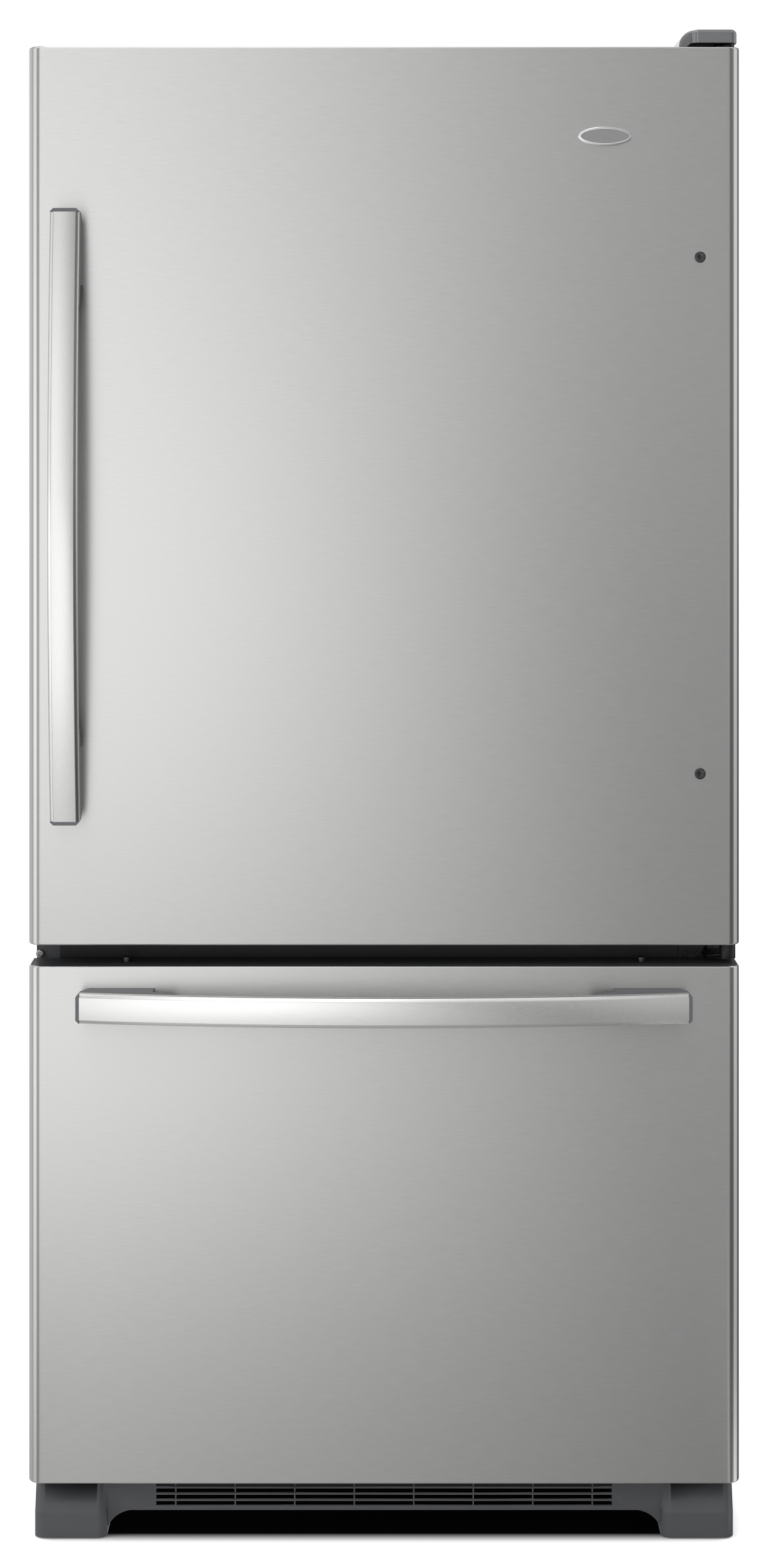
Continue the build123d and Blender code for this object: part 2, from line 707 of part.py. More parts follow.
hinge_arm_half = 12.0
hinge_eye_radius = 8.0

with BuildPart() as top_hinge_bracket:
    with BuildSketch(Plane.XY.offset(hinge_plate_z)):
        with BuildLine():
            Polyline((hinge_plate_x[0], hinge_plate_back_y), (hinge_plate_x[1], hinge_plate_back_y),
                     (hinge_plate_x[1], hinge_y), (hinge_x - hinge_arm_half, hinge_y),
                     (hinge_x - hinge_arm_half, cabinet_front_y + 4),
                     (hinge_plate_x[0], cabinet_front_y + 10), close=True)
        make_face()
        with Locations((hinge_x, hinge_y)):
            Circle(hinge_eye_radius)
    extrude(amount=plate_thickness)
    upright_rod(hinge_x, hinge_y, door_top_z - pin_engagement, hinge_plate_z + plate_thickness,
                pin_radius)
    for x, y in top_screw_points:
        upright_rod(x, y, hinge_plate_z - 1, hinge_plate_z + plate_thickness + 1, screw_radius,
                    Mode.SUBTRACT)
top_hinge_bracket.part.label = "top_hinge_bracket"
export_step(top_hinge_bracket.part, "parts/top_hinge_bracket.step")

with BuildPart() as center_hinge_bracket:
    flange_y0 = cabinet_front_y - plate_thickness
    block(*centre_flange_x, flange_y0, cabinet_front_y, *centre_flange_z)
    block(centre_flange_x[1] - 4, shell_half - 1, hinge_y, cabinet_front_y, centre_arm_z,
          centre_arm_z + centre_arm_thickness)
    upright_rod(hinge_x, hinge_y, centre_arm_z, door_bottom_z - bush_flange_height - gap,
                knuckle_radius)
    upright_rod(hinge_x, hinge_y, centre_arm_z, door_bottom_z + pin_engagement, pin_radius)
    for x in centre_screw_x:
        depth_rod(x, flange_y0 - 1, cabinet_front_y + 1, front_screw_z, screw_radius, Mode.SUBTRACT)
center_hinge_bracket.part.label = "center_hinge_bracket"
export_step(center_hinge_bracket.part, "parts/center_hinge_bracket.step")

# Hexagon-headed screws: top hinge, centre hinge and the spare one on the left flange
with BuildPart() as cabinet_screws:
    head_z = hinge_plate_z + plate_thickness
    for x, y in top_screw_points:
        with BuildSketch(Plane.XY.offset(head_z)):
            with Locations((x, y)):
                RegularPolygon(screw_head_radius, 6)
        extrude(amount=screw_head_height)
        upright_rod(x, y, head_z - screw_length, head_z, screw_radius)
    front_screws = [(x, cabinet_front_y - plate_thickness) for x in centre_screw_x]
    front_screws.append((spare_screw_x, cabinet_front_y))
    for x, seat_y in front_screws:
        with BuildSketch(upright(seat_y)):
            with Locations((x, front_screw_z)):
                RegularPolygon(screw_head_radius, 6)
        extrude(amount=screw_head_height)
        depth_rod(x, seat_y, seat_y + screw_length, front_screw_z, screw_radius)
cabinet_screws.part.label = "cabinet_screws"
export_step(cabinet_screws.part, "parts/cabinet_screws.step")

# Plastic cover over the top hinge, with a swept left flank
cover_height = 20.0
cover_top_z = cabinet_top_z + cover_height
cover_wall = 2.5
cover_left_x = shell_half - 67.0
cover_shoulder_x = shell_half - 45.0
cover_front_y = door_front_y + 6.0
cover_back_y = hinge_plate_back_y + 14.0
cover_door_gap = 5.5
cover_corner = 8.0
cover_round = 6.0
cover_body_x = shell_half - 56.0
cover_flank_setback = 9.0


def cover_outline(y, inset):
    """Front view of the hinge cover: swept left flank, flat top, rounded right corner."""
    left = cover_left_x + inset
    shoulder = cover_shoulder_x + inset * 0.4
    right = shell_half - inset
    base = cabinet_top_z
    top = cover_top_z - inset
    corner = cover_corner - inset
    with BuildSketch(upright(y)) as outline:
        with BuildLine():
            flank = EllipticalCenterArc((shoulder, base), shoulder - left, top - base, 90,
                                        arc_size=90)
            Line(flank @ 0, (right - corner, top))
            CenterArc((right - corner, top - corner), corner, 0, 90)
            Polyline((right, top - corner), (right, base), flank @ 1)
        make_face()
    return outline.sketch


with BuildPart(mode=Mode.PRIVATE) as cover_hollow:
    extrude(cover_outline(cover_front_y + cover_wall, cover_wall),
            amount=-(cover_back_y - cover_front_y - 2 * cover_wall))
    block(cover_left_x, cover_body_x + cover_wall, cover_front_y,
          cover_front_y + cover_flank_setback + cover_wall, cabinet_top_z - 1, cover_top_z + 1,
          Mode.SUBTRACT)

with BuildPart() as top_hinge_cover:
    extrude(cover_outline(cover_front_y, 0), amount=-(cover_back_y - cover_front_y))
    # The left flank stands back from the body's front
    block(cover_left_x - 1, cover_body_x, cover_front_y - 1, cover_front_y + cover_flank_setback,
          cabinet_top_z - 1, cover_top_z + 1, Mode.SUBTRACT)
    fillet(top_hinge_cover.faces().sort_by(Axis.Y)[0].edges().sort_by(Axis.Z)[1:], cover_round)
    add(cover_hollow.part, mode=Mode.SUBTRACT)
    # The body hangs over the door with a gap under it that slopes down to the flank
    under_z = (cabinet_top_z - 1, door_top_z + cover_door_gap)
    with BuildSketch(upright(cover_front_y - 1)):
        with BuildLine():
            Polyline((cover_body_x - (under_z[1] - under_z[0]), under_z[0]),
                     (cover_body_x, under_z[1]), (shell_half + 1, under_z[1]),
                     (shell_half + 1, under_z[0]), close=True)
        make_face()
    extrude(amount=-(cabinet_front_y - 1 - cover_front_y), mode=Mode.SUBTRACT)
top_hinge_cover.part.label = "top_hinge_cover"
export_step(top_hinge_cover.part, "parts/top_hinge_cover.step")


# ---------------------------------------------------------------- cabinet
def fridge_tub(margin, front, mode=Mode.ADD):
    """The fridge compartment's space, grown by a margin."""
    rounded_block(fridge_half + margin, front, fridge_back_y + margin, fridge_floor_z - margin,
                  fridge_ceiling_z + margin, liner_radius + margin, mode)


def freezer_tub(margin, front, mode=Mode.ADD):
    """The freezer compartment's space with the step over the machine compartment."""
    half = freezer_half + margin
    radius = liner_radius + margin
    rounded_block(half, front, freezer_low_back_y + margin, freezer_floor_z - margin,
                  freezer_ceiling_z + margin, radius, mode)
    rounded_block(half, front, fridge_back_y + margin, freezer_step_z - margin,
                  freezer_ceiling_z + margin, radius, mode)


def liner_rim(z0, z1, mode=Mode.ADD):
    """Flat flange of a liner behind the cabinet's front frame."""
    block(-(opening_half + liner_flange), opening_half + liner_flange, flange_back_y,
          flange_back_y + liner_thickness, z0, z1, mode)


rim_split_z = (mullion_bottom_z + mullion_top_z) / 2
fridge_rim_z = (rim_split_z + 1, opening_top_z + liner_flange)
freezer_rim_z = (bottom_rail_top_z - liner_flange, rim_split_z - 1)

with BuildPart() as cabinet_shell:
    shell_height = cabinet_top_z - cabinet_bottom_z
    with BuildSketch(upright(cabinet_front_y)) as shell_front:
        with Locations((0, cabinet_bottom_z + shell_height / 2)):
            Rectangle(cabinet_width, shell_height)
        fillet(shell_front.vertices().group_by(Axis.Z)[-1], shell_corner)
    extrude(amount=-cabinet_depth)
    with BuildSketch(upright(flange_back_y)) as shell_inside:
        with Locations((0, cabinet_bottom_z + shell_height / 2 - steel_thickness)):
            Rectangle(2 * shell_inner_half, shell_height)
        fillet(shell_inside.vertices().group_by(Axis.Z)[-1], shell_corner - steel_thickness)
    extrude(amount=-cabinet_depth, mode=Mode.SUBTRACT)
    block(-opening_half, opening_half, cabinet_front_y - 1, flange_back_y + 1,
          bottom_rail_top_z, opening_top_z, Mode.SUBTRACT)
    block(-shell_inner_half, shell_inner_half, cabinet_front_y - 1, flange_back_y + 1,
          cabinet_bottom_z - 1, pan_z - steel_thickness, Mode.SUBTRACT)
    # Bottom pan, which steps up over the machine compartment
    pan_under = pan_z - steel_thickness
    block(-shell_inner_half, shell_inner_half, cabinet_front_y, machine_front_y + steel_thickness,
          pan_under, pan_z)
    block(-shell_inner_half, shell_inner_half, machine_front_y, machine_front_y + steel_thickness,
          pan_under, machine_roof_z)
    block(-shell_inner_half, shell_inner_half, machine_front_y, rear_panel_y,
          machine_roof_z - steel_thickness, machine_roof_z)
    add(cabinet_screws.part, mode=Mode.SUBTRACT)
cabinet_shell.part.label = "cabinet_shell"
export_step(cabinet_shell.part, "parts/cabinet_shell.step")

# Stiffening ribs pressed into the rear sheet
rear_rib_pitch = 240.0
rear_rib_half = 30.0
rear_rib_margin = 90.0

with BuildPart() as rear_panel:
    block(-shell_inner_half, shell_inner_half, rear_panel_y, rear_panel_y + steel_thickness,
          machine_roof_z, cabinet_top_z - shell_corner)
    for x in (-rear_rib_pitch, 0, rear_rib_pitch):
        block(x - rear_rib_half, x + rear_rib_half, rear_panel_y + steel_thickness / 2,
              rear_panel_y + 2 * steel_thickness, machine_roof_z + rear_rib_margin,
              cabinet_top_z - rear_rib_margin)
rear_panel.part.label = "rear_panel"
export_step(rear_panel.part, "parts/rear_panel.step")

with BuildPart() as mullion_rail:
    rail_half = opening_half - mullion_side_gap
    block(-rail_half, rail_half, cabinet_front_y, flange_back_y, mullion_bottom_z, mullion_top_z)
    add(cabinet_screws.part, mode=Mode.SUBTRACT)
mullion_rail.part.label = "mullion_rail"
export_step(mullion_rail.part, "parts/mullion_rail.step")

# Raised duct in the middle of the fridge liner's back wall
duct_half = 60.0
duct_depth = 20.0
duct_z = (fridge_floor_z + 243.0, fridge_ceiling_z - 65.0)
duct_slot = (9.0, 40.0)
duct_slot_pitch = 18.0
duct_slot_rows = (duct_z[0] + 160.0, duct_z[0] + 370.0, duct_z[0] + 570.0)

with BuildPart() as fridge_liner:
    fridge_tub(liner_thickness, flange_back_y)
    liner_rim(*fridge_rim_z)
    fridge_tub(0, flange_back_y - 1, Mode.SUBTRACT)
    block(-duct_half, duct_half, fridge_back_y - duct_depth, fridge_back_y, *duct_z)
    block(-duct_half + liner_thickness, duct_half - liner_thickness,
          fridge_back_y - duct_depth + liner_thickness, fridge_back_y + liner_thickness,
          duct_z[0] + liner_thickness, duct_z[1] - liner_thickness, Mode.SUBTRACT)
    with Locations(*((0, fridge_back_y - duct_depth, z) for z in duct_slot_rows)):
        with GridLocations(duct_slot_pitch, 1, 5, 1):
            Box(duct_slot[0], 3 * liner_thickness, duct_slot[1], mode=Mode.SUBTRACT)
fridge_liner.part.label = "fridge_liner"
export_step(fridge_liner.part, "parts/fridge_liner.step")

with BuildPart() as freezer_liner:
    freezer_tub(liner_thickness, flange_back_y)
    liner_rim(*freezer_rim_z)
    freezer_tub(0, flange_back_y - 1, Mode.SUBTRACT)
    add(cabinet_screws.part, mode=Mode.SUBTRACT)
freezer_liner.part.label = "freezer_liner"
export_step(freezer_liner.part, "parts/freezer_liner.step")

with BuildPart() as insulation_foam:
    foam_top = cabinet_top_z - steel_thickness
    block(-shell_inner_half, shell_inner_half, flange_back_y, rear_panel_y, pan_z, foam_top)
    block(-shell_inner_half, shell_inner_half, machine_front_y, rear_panel_y, pan_z,
          machine_roof_z, Mode.SUBTRACT)
    fillet(insulation_foam.edges().filter_by(Axis.Y).group_by(Axis.Z)[-1],
           shell_corner - steel_thickness)
    fridge_tub(liner_thickness, flange_back_y, Mode.SUBTRACT)
    freezer_tub(liner_thickness, flange_back_y, Mode.SUBTRACT)
    liner_rim(*fridge_rim_z, Mode.SUBTRACT)
    liner_rim(*freezer_rim_z, Mode.SUBTRACT)
    add(cabinet_screws.part, mode=Mode.SUBTRACT)
insulation_foam.part.label = "insulation_foam"
export_step(insulation_foam.part, "parts/insulation_foam.step")

# ---------------------------------------------------------------- fridge interior
shelf_setback = 142.0
shelf_rear_gap = 28.0
crisper_bay_height = 231.0
shelf_heights = (152.0, 317.0, 492.0)
shelf_front_y = door_back_y + shelf_setback
shelf_back_y = fridge_back_y - shelf_rear_gap
shelf_half = fridge_half - 15.0
crisper_cover_top_z = fridge_floor_z + crisper_bay_height
shelf_tops = [crisper_cover_top_z + height for height in shelf_heights]
shelf_frame_height = 12.0
shelf_frame_width = 16.0
shelf_rebate = 6.0
pane_thickness = 4.0
track_x = shelf_half - 11.0
track_half = 8.0
track_depth = 7.0
track_z = (crisper_cover_top_z + 32.0, fridge_ceiling_z - 65.0)
track_slot_pitch = 30.0
track_slot = (3.2, 14.0)
bracket_sheet = 3.0
bracket_front_margin = 30.0
bracket_tip = 9.0
bracket_root = 34.0
cover_frame_height = 14.0
crisper_front_y = door_back_y + 230.0
crisper_back_y = fridge_back_y - 20.0
cover_half = fridge_half - 2.0


def pane_frame(half, y0, y1, top, height, width):
    """A moulded frame with a rebate that holds a glass pane."""
    block(-half, half, y0, y1, top - height, top)
    block(-half + width, half - width, y0 + width, y1 - width, top - height, top, Mode.SUBTRACT)
    block(-half + shelf_rebate, half - shelf_rebate, y0 + shelf_rebate, y1 - shelf_rebate,
          top - pane_thickness, top, Mode.SUBTRACT)


def pane(half, y0, y1, top):
    """A glass pane that sits in such a frame's rebate."""
    edge = shelf_rebate + 0.2
    block(-half + edge, half - edge, y0 + edge, y1 - edge, top - pane_thickness, top)


with BuildPart() as shelf_frames:
    for top in shelf_tops:
        pane_frame(shelf_half, shelf_front_y, shelf_back_y, top, shelf_frame_height,
                   shelf_frame_width)
shelf_frames.part.label = "shelf_frames"
export_step(shelf_frames.part, "parts/shelf_frames.step")

with BuildPart() as shelf_panes:
    for top in shelf_tops:
        pane(shelf_half, shelf_front_y, shelf_back_y, top)
    pane(cover_half, crisper_front_y, crisper_back_y, crisper_cover_top_z)
shelf_panes.part.label = "shelf_panes"
export_step(shelf_panes.part, "parts/shelf_panes.step")

# Slotted tracks on the back wall, and the steel brackets that hook into them
with BuildPart() as shelf_supports:
    for side in (-1, 1):
        x = side * track_x
        block(x - track_half, x + track_half, fridge_back_y - track_depth, fridge_back_y, *track_z)
        slot_count = int((track_z[1] - track_z[0]) / track_slot_pitch) - 1
        for index in range(slot_count):
            slot_z = track_z[0] + (index + 1) * track_slot_pitch
            block(x - track_slot[0] / 2, x + track_slot[0] / 2, fridge_back_y - track_depth - 1,
                  fridge_back_y - liner_thickness, slot_z - track_slot[1] / 2,
                  slot_z + track_slot[1] / 2, Mode.SUBTRACT)
        for top in shelf_tops:
            under = top - shelf_frame_height
            hook_y = fridge_back_y - track_depth - seal_gap
            tip_y = shelf_front_y + bracket_front_margin
            with BuildSketch(Plane.YZ.offset(x - bracket_sheet / 2)):
                with BuildLine():
                    Polyline((hook_y, under), (tip_y, under), (tip_y, under - bracket_tip),
                             (hook_y, under - bracket_root), close=True)
                make_face()
            extrude(amount=bracket_sheet)
shelf_supports.part.label = "shelf_supports"
export_step(shelf_supports.part, "parts/shelf_supports.step")

# Crisper cover: a frame with a middle bar, hanging rails and slots for the humidity sliders
rail_z = crisper_cover_top_z - 36.0
rail_ledge = 3.0
rail_web = 4.0
rail_reach = 12.0
slider_groove_z = (crisper_cover_top_z - 10.4, crisper_cover_top_z - 3.6)
slider_groove_x = (130.0, 220.0)
slider_groove_depth = 3.0

with BuildPart() as crisper_cover:
    pane_frame(cover_half, crisper_front_y, crisper_back_y, crisper_cover_top_z,
               cover_frame_height, shelf_frame_width)
    frame_under = crisper_cover_top_z - cover_frame_height
    rail_y = (crisper_front_y + 2, crisper_back_y)
    block(-rail_web / 2, rail_web / 2, *rail_y, rail_z, crisper_cover_top_z - pane_thickness)
    block(-rail_reach, rail_reach, *rail_y, rail_z, rail_z + rail_ledge)
    for side in (-1, 1):
        block(*sided(side, cover_half - rail_web, cover_half), *rail_y, rail_z, frame_under)
        block(*sided(side, cover_half - rail_reach, cover_half), *rail_y, rail_z,
              rail_z + rail_ledge)
        block(*sided(side, *slider_groove_x), crisper_front_y - 1,
              crisper_front_y + slider_groove_depth, *slider_groove_z, Mode.SUBTRACT)
crisper_cover.part.label = "crisper_cover"
export_step(crisper_cover.part, "parts/crisper_cover.step")

crisper_floor_z = fridge_floor_z + 9.0
crisper_rim_z = rail_z + rail_ledge + gap
crisper_rim_thickness = 2.5
crisper_wall = 2.6
crisper_front_top_z = frame_under - 3.0
crisper_front_gap = 0.6
crisper_back_gap = 12.0
crisper_radius = 12.0
rim_gap = 2.0
body_gap = 3.0
pull_inset = 90.0
pull_reach = 13.0
pull_thickness = 8.0
pull_lip = 2.6
pull_drop = 18.0


def crisper(side):
    """A clear vegetable drawer that hangs by its rims on the crisper cover's rails."""
    rim_inner = rail_web / 2 + rim_gap
    rim_outer = cover_half - rail_web - rim_gap / 2
    body_inner = rail_reach + body_gap
    body_outer = cover_half - rail_reach - body_gap
    x0, x1 = sided(side, body_inner, body_outer)
    top = crisper_rim_z + crisper_rim_thickness
    body_front = crisper_front_y - crisper_front_gap
    body_back = crisper_back_y - crisper_back_gap
    tub(x0, x1, body_front, body_back, crisper_floor_z, top, crisper_wall, crisper_radius)
    for near, far in ((rim_inner, body_inner + 1), (body_outer - 1, rim_outer)):
        block(*sided(side, near, far), body_front, body_back, crisper_rim_z, top)
    # Front face with a pull lip
    face_x = sided(side, rim_inner, rim_outer)
    block(*face_x, body_front - crisper_wall, body_front + 1, crisper_floor_z, crisper_front_top_z)
    pull_x = (face_x[0] + pull_inset, face_x[1] - pull_inset)
    pull_front = body_front - pull_reach
    block(*pull_x, pull_front, body_front, crisper_front_top_z - pull_thickness, crisper_front_top_z)
    block(*pull_x, pull_front, pull_front + pull_lip, crisper_front_top_z - pull_drop,
          crisper_front_top_z)


with BuildPart() as crisper_left:
    crisper(-1)
crisper_left.part.label = "crisper_left"
export_step(crisper_left.part, "parts/crisper_left.step")

with BuildPart() as crisper_right:
    crisper(1)
crisper_right.part.label = "crisper_right"
export_step(crisper_right.part, "parts/crisper_right.step")

slider_width = 16.0
slider_start_gap = 2.0
slider_tab_inset = 5.0
slider_tab_reach = 4.0


def humidity_slider(side):
    """A small tab that slides in the groove of the crisper cover's front."""
    near_start = slider_groove_x[0] + slider_start_gap
    far_start = slider_groove_x[1] - slider_start_gap - slider_width
    start = near_start if side > 0 else far_start
    x0, x1 = sided(side, start, start + slider_width)
    tab_z = (slider_groove_z[0] + gap, slider_groove_z[1] - gap)
    block(x0, x1, crisper_front_y - gap, crisper_front_y + slider_groove_depth - gap, *tab_z)
    block(x0 + slider_tab_inset, x1 - slider_tab_inset, crisper_front_y - slider_tab_reach,
          crisper_front_y - gap / 2, *tab_z)


with BuildPart() as humidity_slider_left:
    humidity_slider(-1)
humidity_slider_left.part.label = "humidity_slider_left"
export_step(humidity_slider_left.part, "parts/humidity_slider_left.step")

with BuildPart() as humidity_slider_right:
    humidity_slider(1)
humidity_slider_right.part.label = "humidity_slider_right"
export_step(humidity_slider_right.part, "parts/humidity_slider_right.step")

# Control housing under the fridge ceiling, with its knobs, the switch nose and the light lens
housing_half = 150.0
housing_front = 127.0
housing_depth = 155.0
housing_y = (door_back_y + housing_front, door_back_y + housing_front + housing_depth)
housing_floor_z = fridge_ceiling_z - 40.0
housing_wall = 2.5
knob_x = 75.0
knob_z = fridge_ceiling_z - 21.0
knob_radius = 16.0
knob_depth = 12.0
knob_rib = 2.0
shaft_radius = 3.0
shaft_end = 5.0
nose_half = 12.0
nose_reach = 35.0
plunger_radius = 4.0
plunger_z = dike_z[1] - 10.0
plunger_travel = 8.0
plunger_collar = 2.5
plunger_tail = 12.0
lens_half = 100.0
lens_gap = 2.0
lens_depth = 96.0
lens_height = 24.0
lens_wall = 2.0

with BuildPart() as control_housing:
    block(-housing_half, housing_half, *housing_y, housing_floor_z, fridge_ceiling_z)
    block(-housing_half + housing_wall, housing_half - housing_wall, housing_y[0] + housing_wall,
          housing_y[1] - housing_wall, housing_floor_z + housing_wall, fridge_ceiling_z,
          Mode.SUBTRACT)
    nose_end_y = housing_y[0] + plunger_travel
    block(-nose_half, nose_half, housing_y[0] - nose_reach, nose_end_y, plunger_z - nose_half,
          plunger_z + nose_half)
    depth_rod(0, housing_y[0] - nose_reach - 1, nose_end_y + 1, plunger_z,
              plunger_radius + bearing_clearance, Mode.SUBTRACT)
    for side in (-1, 1):
        depth_rod(side * knob_x, housing_y[0] - 1, housing_y[0] + housing_wall + 1, knob_z,
                  shaft_radius + bearing_clearance, Mode.SUBTRACT)
control_housing.part.label = "control_housing"
export_step(control_housing.part, "parts/control_housing.step")


def temperature_knob(side):
    """A round knob with a pointer rib and a short shaft."""
    x = side * knob_x
    back = housing_y[0] - gap
    depth_rod(x, back - knob_depth, back, knob_z, knob_radius)
    depth_rod(x, back, housing_y[0] + housing_wall + shaft_end, knob_z, shaft_radius)
    block(x - knob_rib, x + knob_rib, back - knob_depth - knob_rib, back - knob_depth, knob_z,
          knob_z + knob_radius - knob_rib / 2)


with BuildPart() as fridge_knob:
    temperature_knob(1)
fridge_knob.part.label = "fridge_knob"
export_step(fridge_knob.part, "parts/fridge_knob.step")

with BuildPart() as freezer_knob:
    temperature_knob(-1)
freezer_knob.part.label = "freezer_knob"
export_step(freezer_knob.part, "parts/freezer_knob.step")

with BuildPart() as switch_plunger:
    tail_y = nose_end_y + plunger_tail
    depth_rod(0, dike_back_y + gap, tail_y, plunger_z, plunger_radius)
    # The collar stops the plunger at the end of its travel
    depth_rod(0, nose_end_y + plunger_travel + 1, tail_y, plunger_z, plunger_radius + plunger_collar)
switch_plunger.part.label = "switch_plunger"
export_step(switch_plunger.part, "parts/switch_plunger.step")

with BuildPart() as light_lens:
    lens_y = (housing_y[1] + lens_gap, housing_y[1] + lens_gap + lens_depth)
    block(-lens_half, lens_half, *lens_y, fridge_ceiling_z - lens_height, fridge_ceiling_z)
    block(lens_wall - lens_half, lens_half - lens_wall, lens_y[0] + lens_wall, lens_y[1] - lens_wall,
          fridge_ceiling_z - lens_height + lens_wall, fridge_ceiling_z, Mode.SUBTRACT)
light_lens.part.label = "light_lens"
export_step(light_lens.part, "parts/light_lens.step")

# ---------------------------------------------------------------- freezer air system
evaporator_depth = 60.0
evaporator_cover_y = fridge_back_y - evaporator_depth
fan_radius = 45.0
fan_hub_radius = 13.0
fan_depth = 14.0
fan_shaft_radius = 2.5
fan_blades = 5
fan_blade_pitch = 28.0
fan_blade_sheet = 1.6
fan_spoke = 3.0
fan_back_gap = 3.0
evaporator_fan_gap = 12.0
evaporator_cover_sheet = 2.0
return_slot = (14.0, 30.0)
return_slot_pitch = 26.0
return_slot_count = 20
return_slot_rise = 10.0
return_slot_z = freezer_step_z + return_slot_rise + return_slot[1]
fan_z = (return_slot_z + return_slot[1] / 2 + freezer_ceiling_z) / 2
motor_radius = 22.0
motor_length = 24.0
strap_half = (8.0, 34.0)
strap_thickness = 4.0
condenser_fan_x = 26.0
condenser_fan_y = (machine_front_y + cabinet_back_y) / 2
condenser_fan_z = 165.0
condenser_fan_radius = 70.0

with BuildPart() as evaporator_cover:
    cover_middle_y = evaporator_cover_y + evaporator_cover_sheet / 2
    rounded_block(freezer_half - 1, evaporator_cover_y, evaporator_cover_y + evaporator_cover_sheet,
                  freezer_step_z + 1, freezer_ceiling_z - 1, liner_radius)
    depth_rod(0, evaporator_cover_y - 1, evaporator_cover_y + evaporator_cover_sheet + 1, fan_z,
              fan_radius - fan_spoke, Mode.SUBTRACT)
    for spoke in range(6):
        with Locations(Location((0, cover_middle_y, fan_z), (0, spoke * 30, 0))):
            Box(2 * fan_radius, evaporator_cover_sheet, fan_spoke)
    with Locations((0, cover_middle_y, return_slot_z)):
        with GridLocations(return_slot_pitch, 1, return_slot_count, 1):
            Box(return_slot[0], 2 * evaporator_cover_sheet, return_slot[1], mode=Mode.SUBTRACT)
evaporator_cover.part.label = "evaporator_cover"
export_step(evaporator_cover.part, "parts/evaporator_cover.step")


def fan_rotor(hub_plane, radius):
    """A hub with pitched blades, bored for its motor's shaft."""
    with BuildSketch(hub_plane) as hub:
        Circle(fan_hub_radius)
    extrude(hub.sketch, amount=fan_depth)
    for blade in range(fan_blades):
        turn = 360 / fan_blades * blade
        root = fan_hub_radius - fan_blade_sheet
        reach = (root + radius) / 2
        centre = hub_plane.offset(fan_depth / 2)
        arm = Location(centre) * Location((0, 0, 0), (0, 0, turn))
        with Locations(arm * Location((reach, 0, 0), (fan_blade_pitch, 0, 0))):
            Box(radius - root, radius / 2, fan_blade_sheet)
    with BuildSketch(hub_plane) as bore:
        Circle(fan_shaft_radius + bearing_clearance)
    extrude(bore.sketch, amount=fan_depth, mode=Mode.SUBTRACT)


with BuildPart() as evaporator_fan:
    fan_back_y = evaporator_cover_y + evaporator_fan_gap + fan_depth
    fan_rotor(Plane(origin=(0, fan_back_y, fan_z), x_dir=(1, 0, 0), z_dir=(0, -1, 0)),
              fan_radius - fan_spoke - 1)
evaporator_fan.part.label = "evaporator_fan"
export_step(evaporator_fan.part, "parts/evaporator_fan.step")

with BuildPart() as condenser_fan:
    fan_rotor(Plane(origin=(condenser_fan_x, condenser_fan_y, condenser_fan_z), x_dir=(0, 1, 0),
                    z_dir=(1, 0, 0)), condenser_fan_radius)
condenser_fan.part.label = "condenser_fan"
export_step(condenser_fan.part, "parts/condenser_fan.step")

# Two like motors, each with a shaft, on a strap that is screwed down behind it
with BuildPart() as fan_motors:
    face_y = fan_back_y + fan_back_gap
    depth_rod(0, face_y, fridge_back_y - 1, fan_z, motor_radius)
    depth_rod(0, fan_back_y - fan_depth, face_y + 1, fan_z, fan_shaft_radius)
    block(-strap_half[0], strap_half[0], fridge_back_y - strap_thickness, fridge_back_y,
          fan_z - strap_half[1], fan_z + strap_half[1])
    motor_x = condenser_fan_x - fan_back_gap
    motor_back_x = motor_x - motor_length
    cross_rod(motor_back_x, motor_x, condenser_fan_y, condenser_fan_z, motor_radius)
    cross_rod(motor_x - 1, condenser_fan_x + fan_depth, condenser_fan_y, condenser_fan_z,
              fan_shaft_radius)
    block(motor_back_x - strap_thickness / 2, motor_back_x + strap_thickness / 2,
          condenser_fan_y - strap_half[0], condenser_fan_y + strap_half[0], tray_top, condenser_fan_z)
fan_motors.part.label = "fan_motors"
export_step(fan_motors.part, "parts/fan_motors.step")

# ---------------------------------------------------------------- base and running gear
frame_rail_half = shell_inner_half - 0.5
frame_sheet = 1.5
frame_z = (32.0, pan_z - steel_thickness)
frame_flange = 40.0
front_rail_low_z = 40.0
leg_x = shell_half - 48.0
leg_y = cabinet_front_y + 24.0
leg_radius = 6.0
leg_foot_radius = 18.0
leg_foot_height = 8.0
leg_hexagon_radius = 11.0
leg_hexagon_height = 8.0
nut_half = 15.0
nut_height = 12.0
roller_radius = 20.0
roller_x = (shell_half - 35.0, shell_half - 9.0)
roller_y = cabinet_back_y - 43.0
axle_radius = 4.0
cheek_x = roller_x[0] - 5.0
cheek_reach = 24.0
cheek_z = (12.0, 60.0)

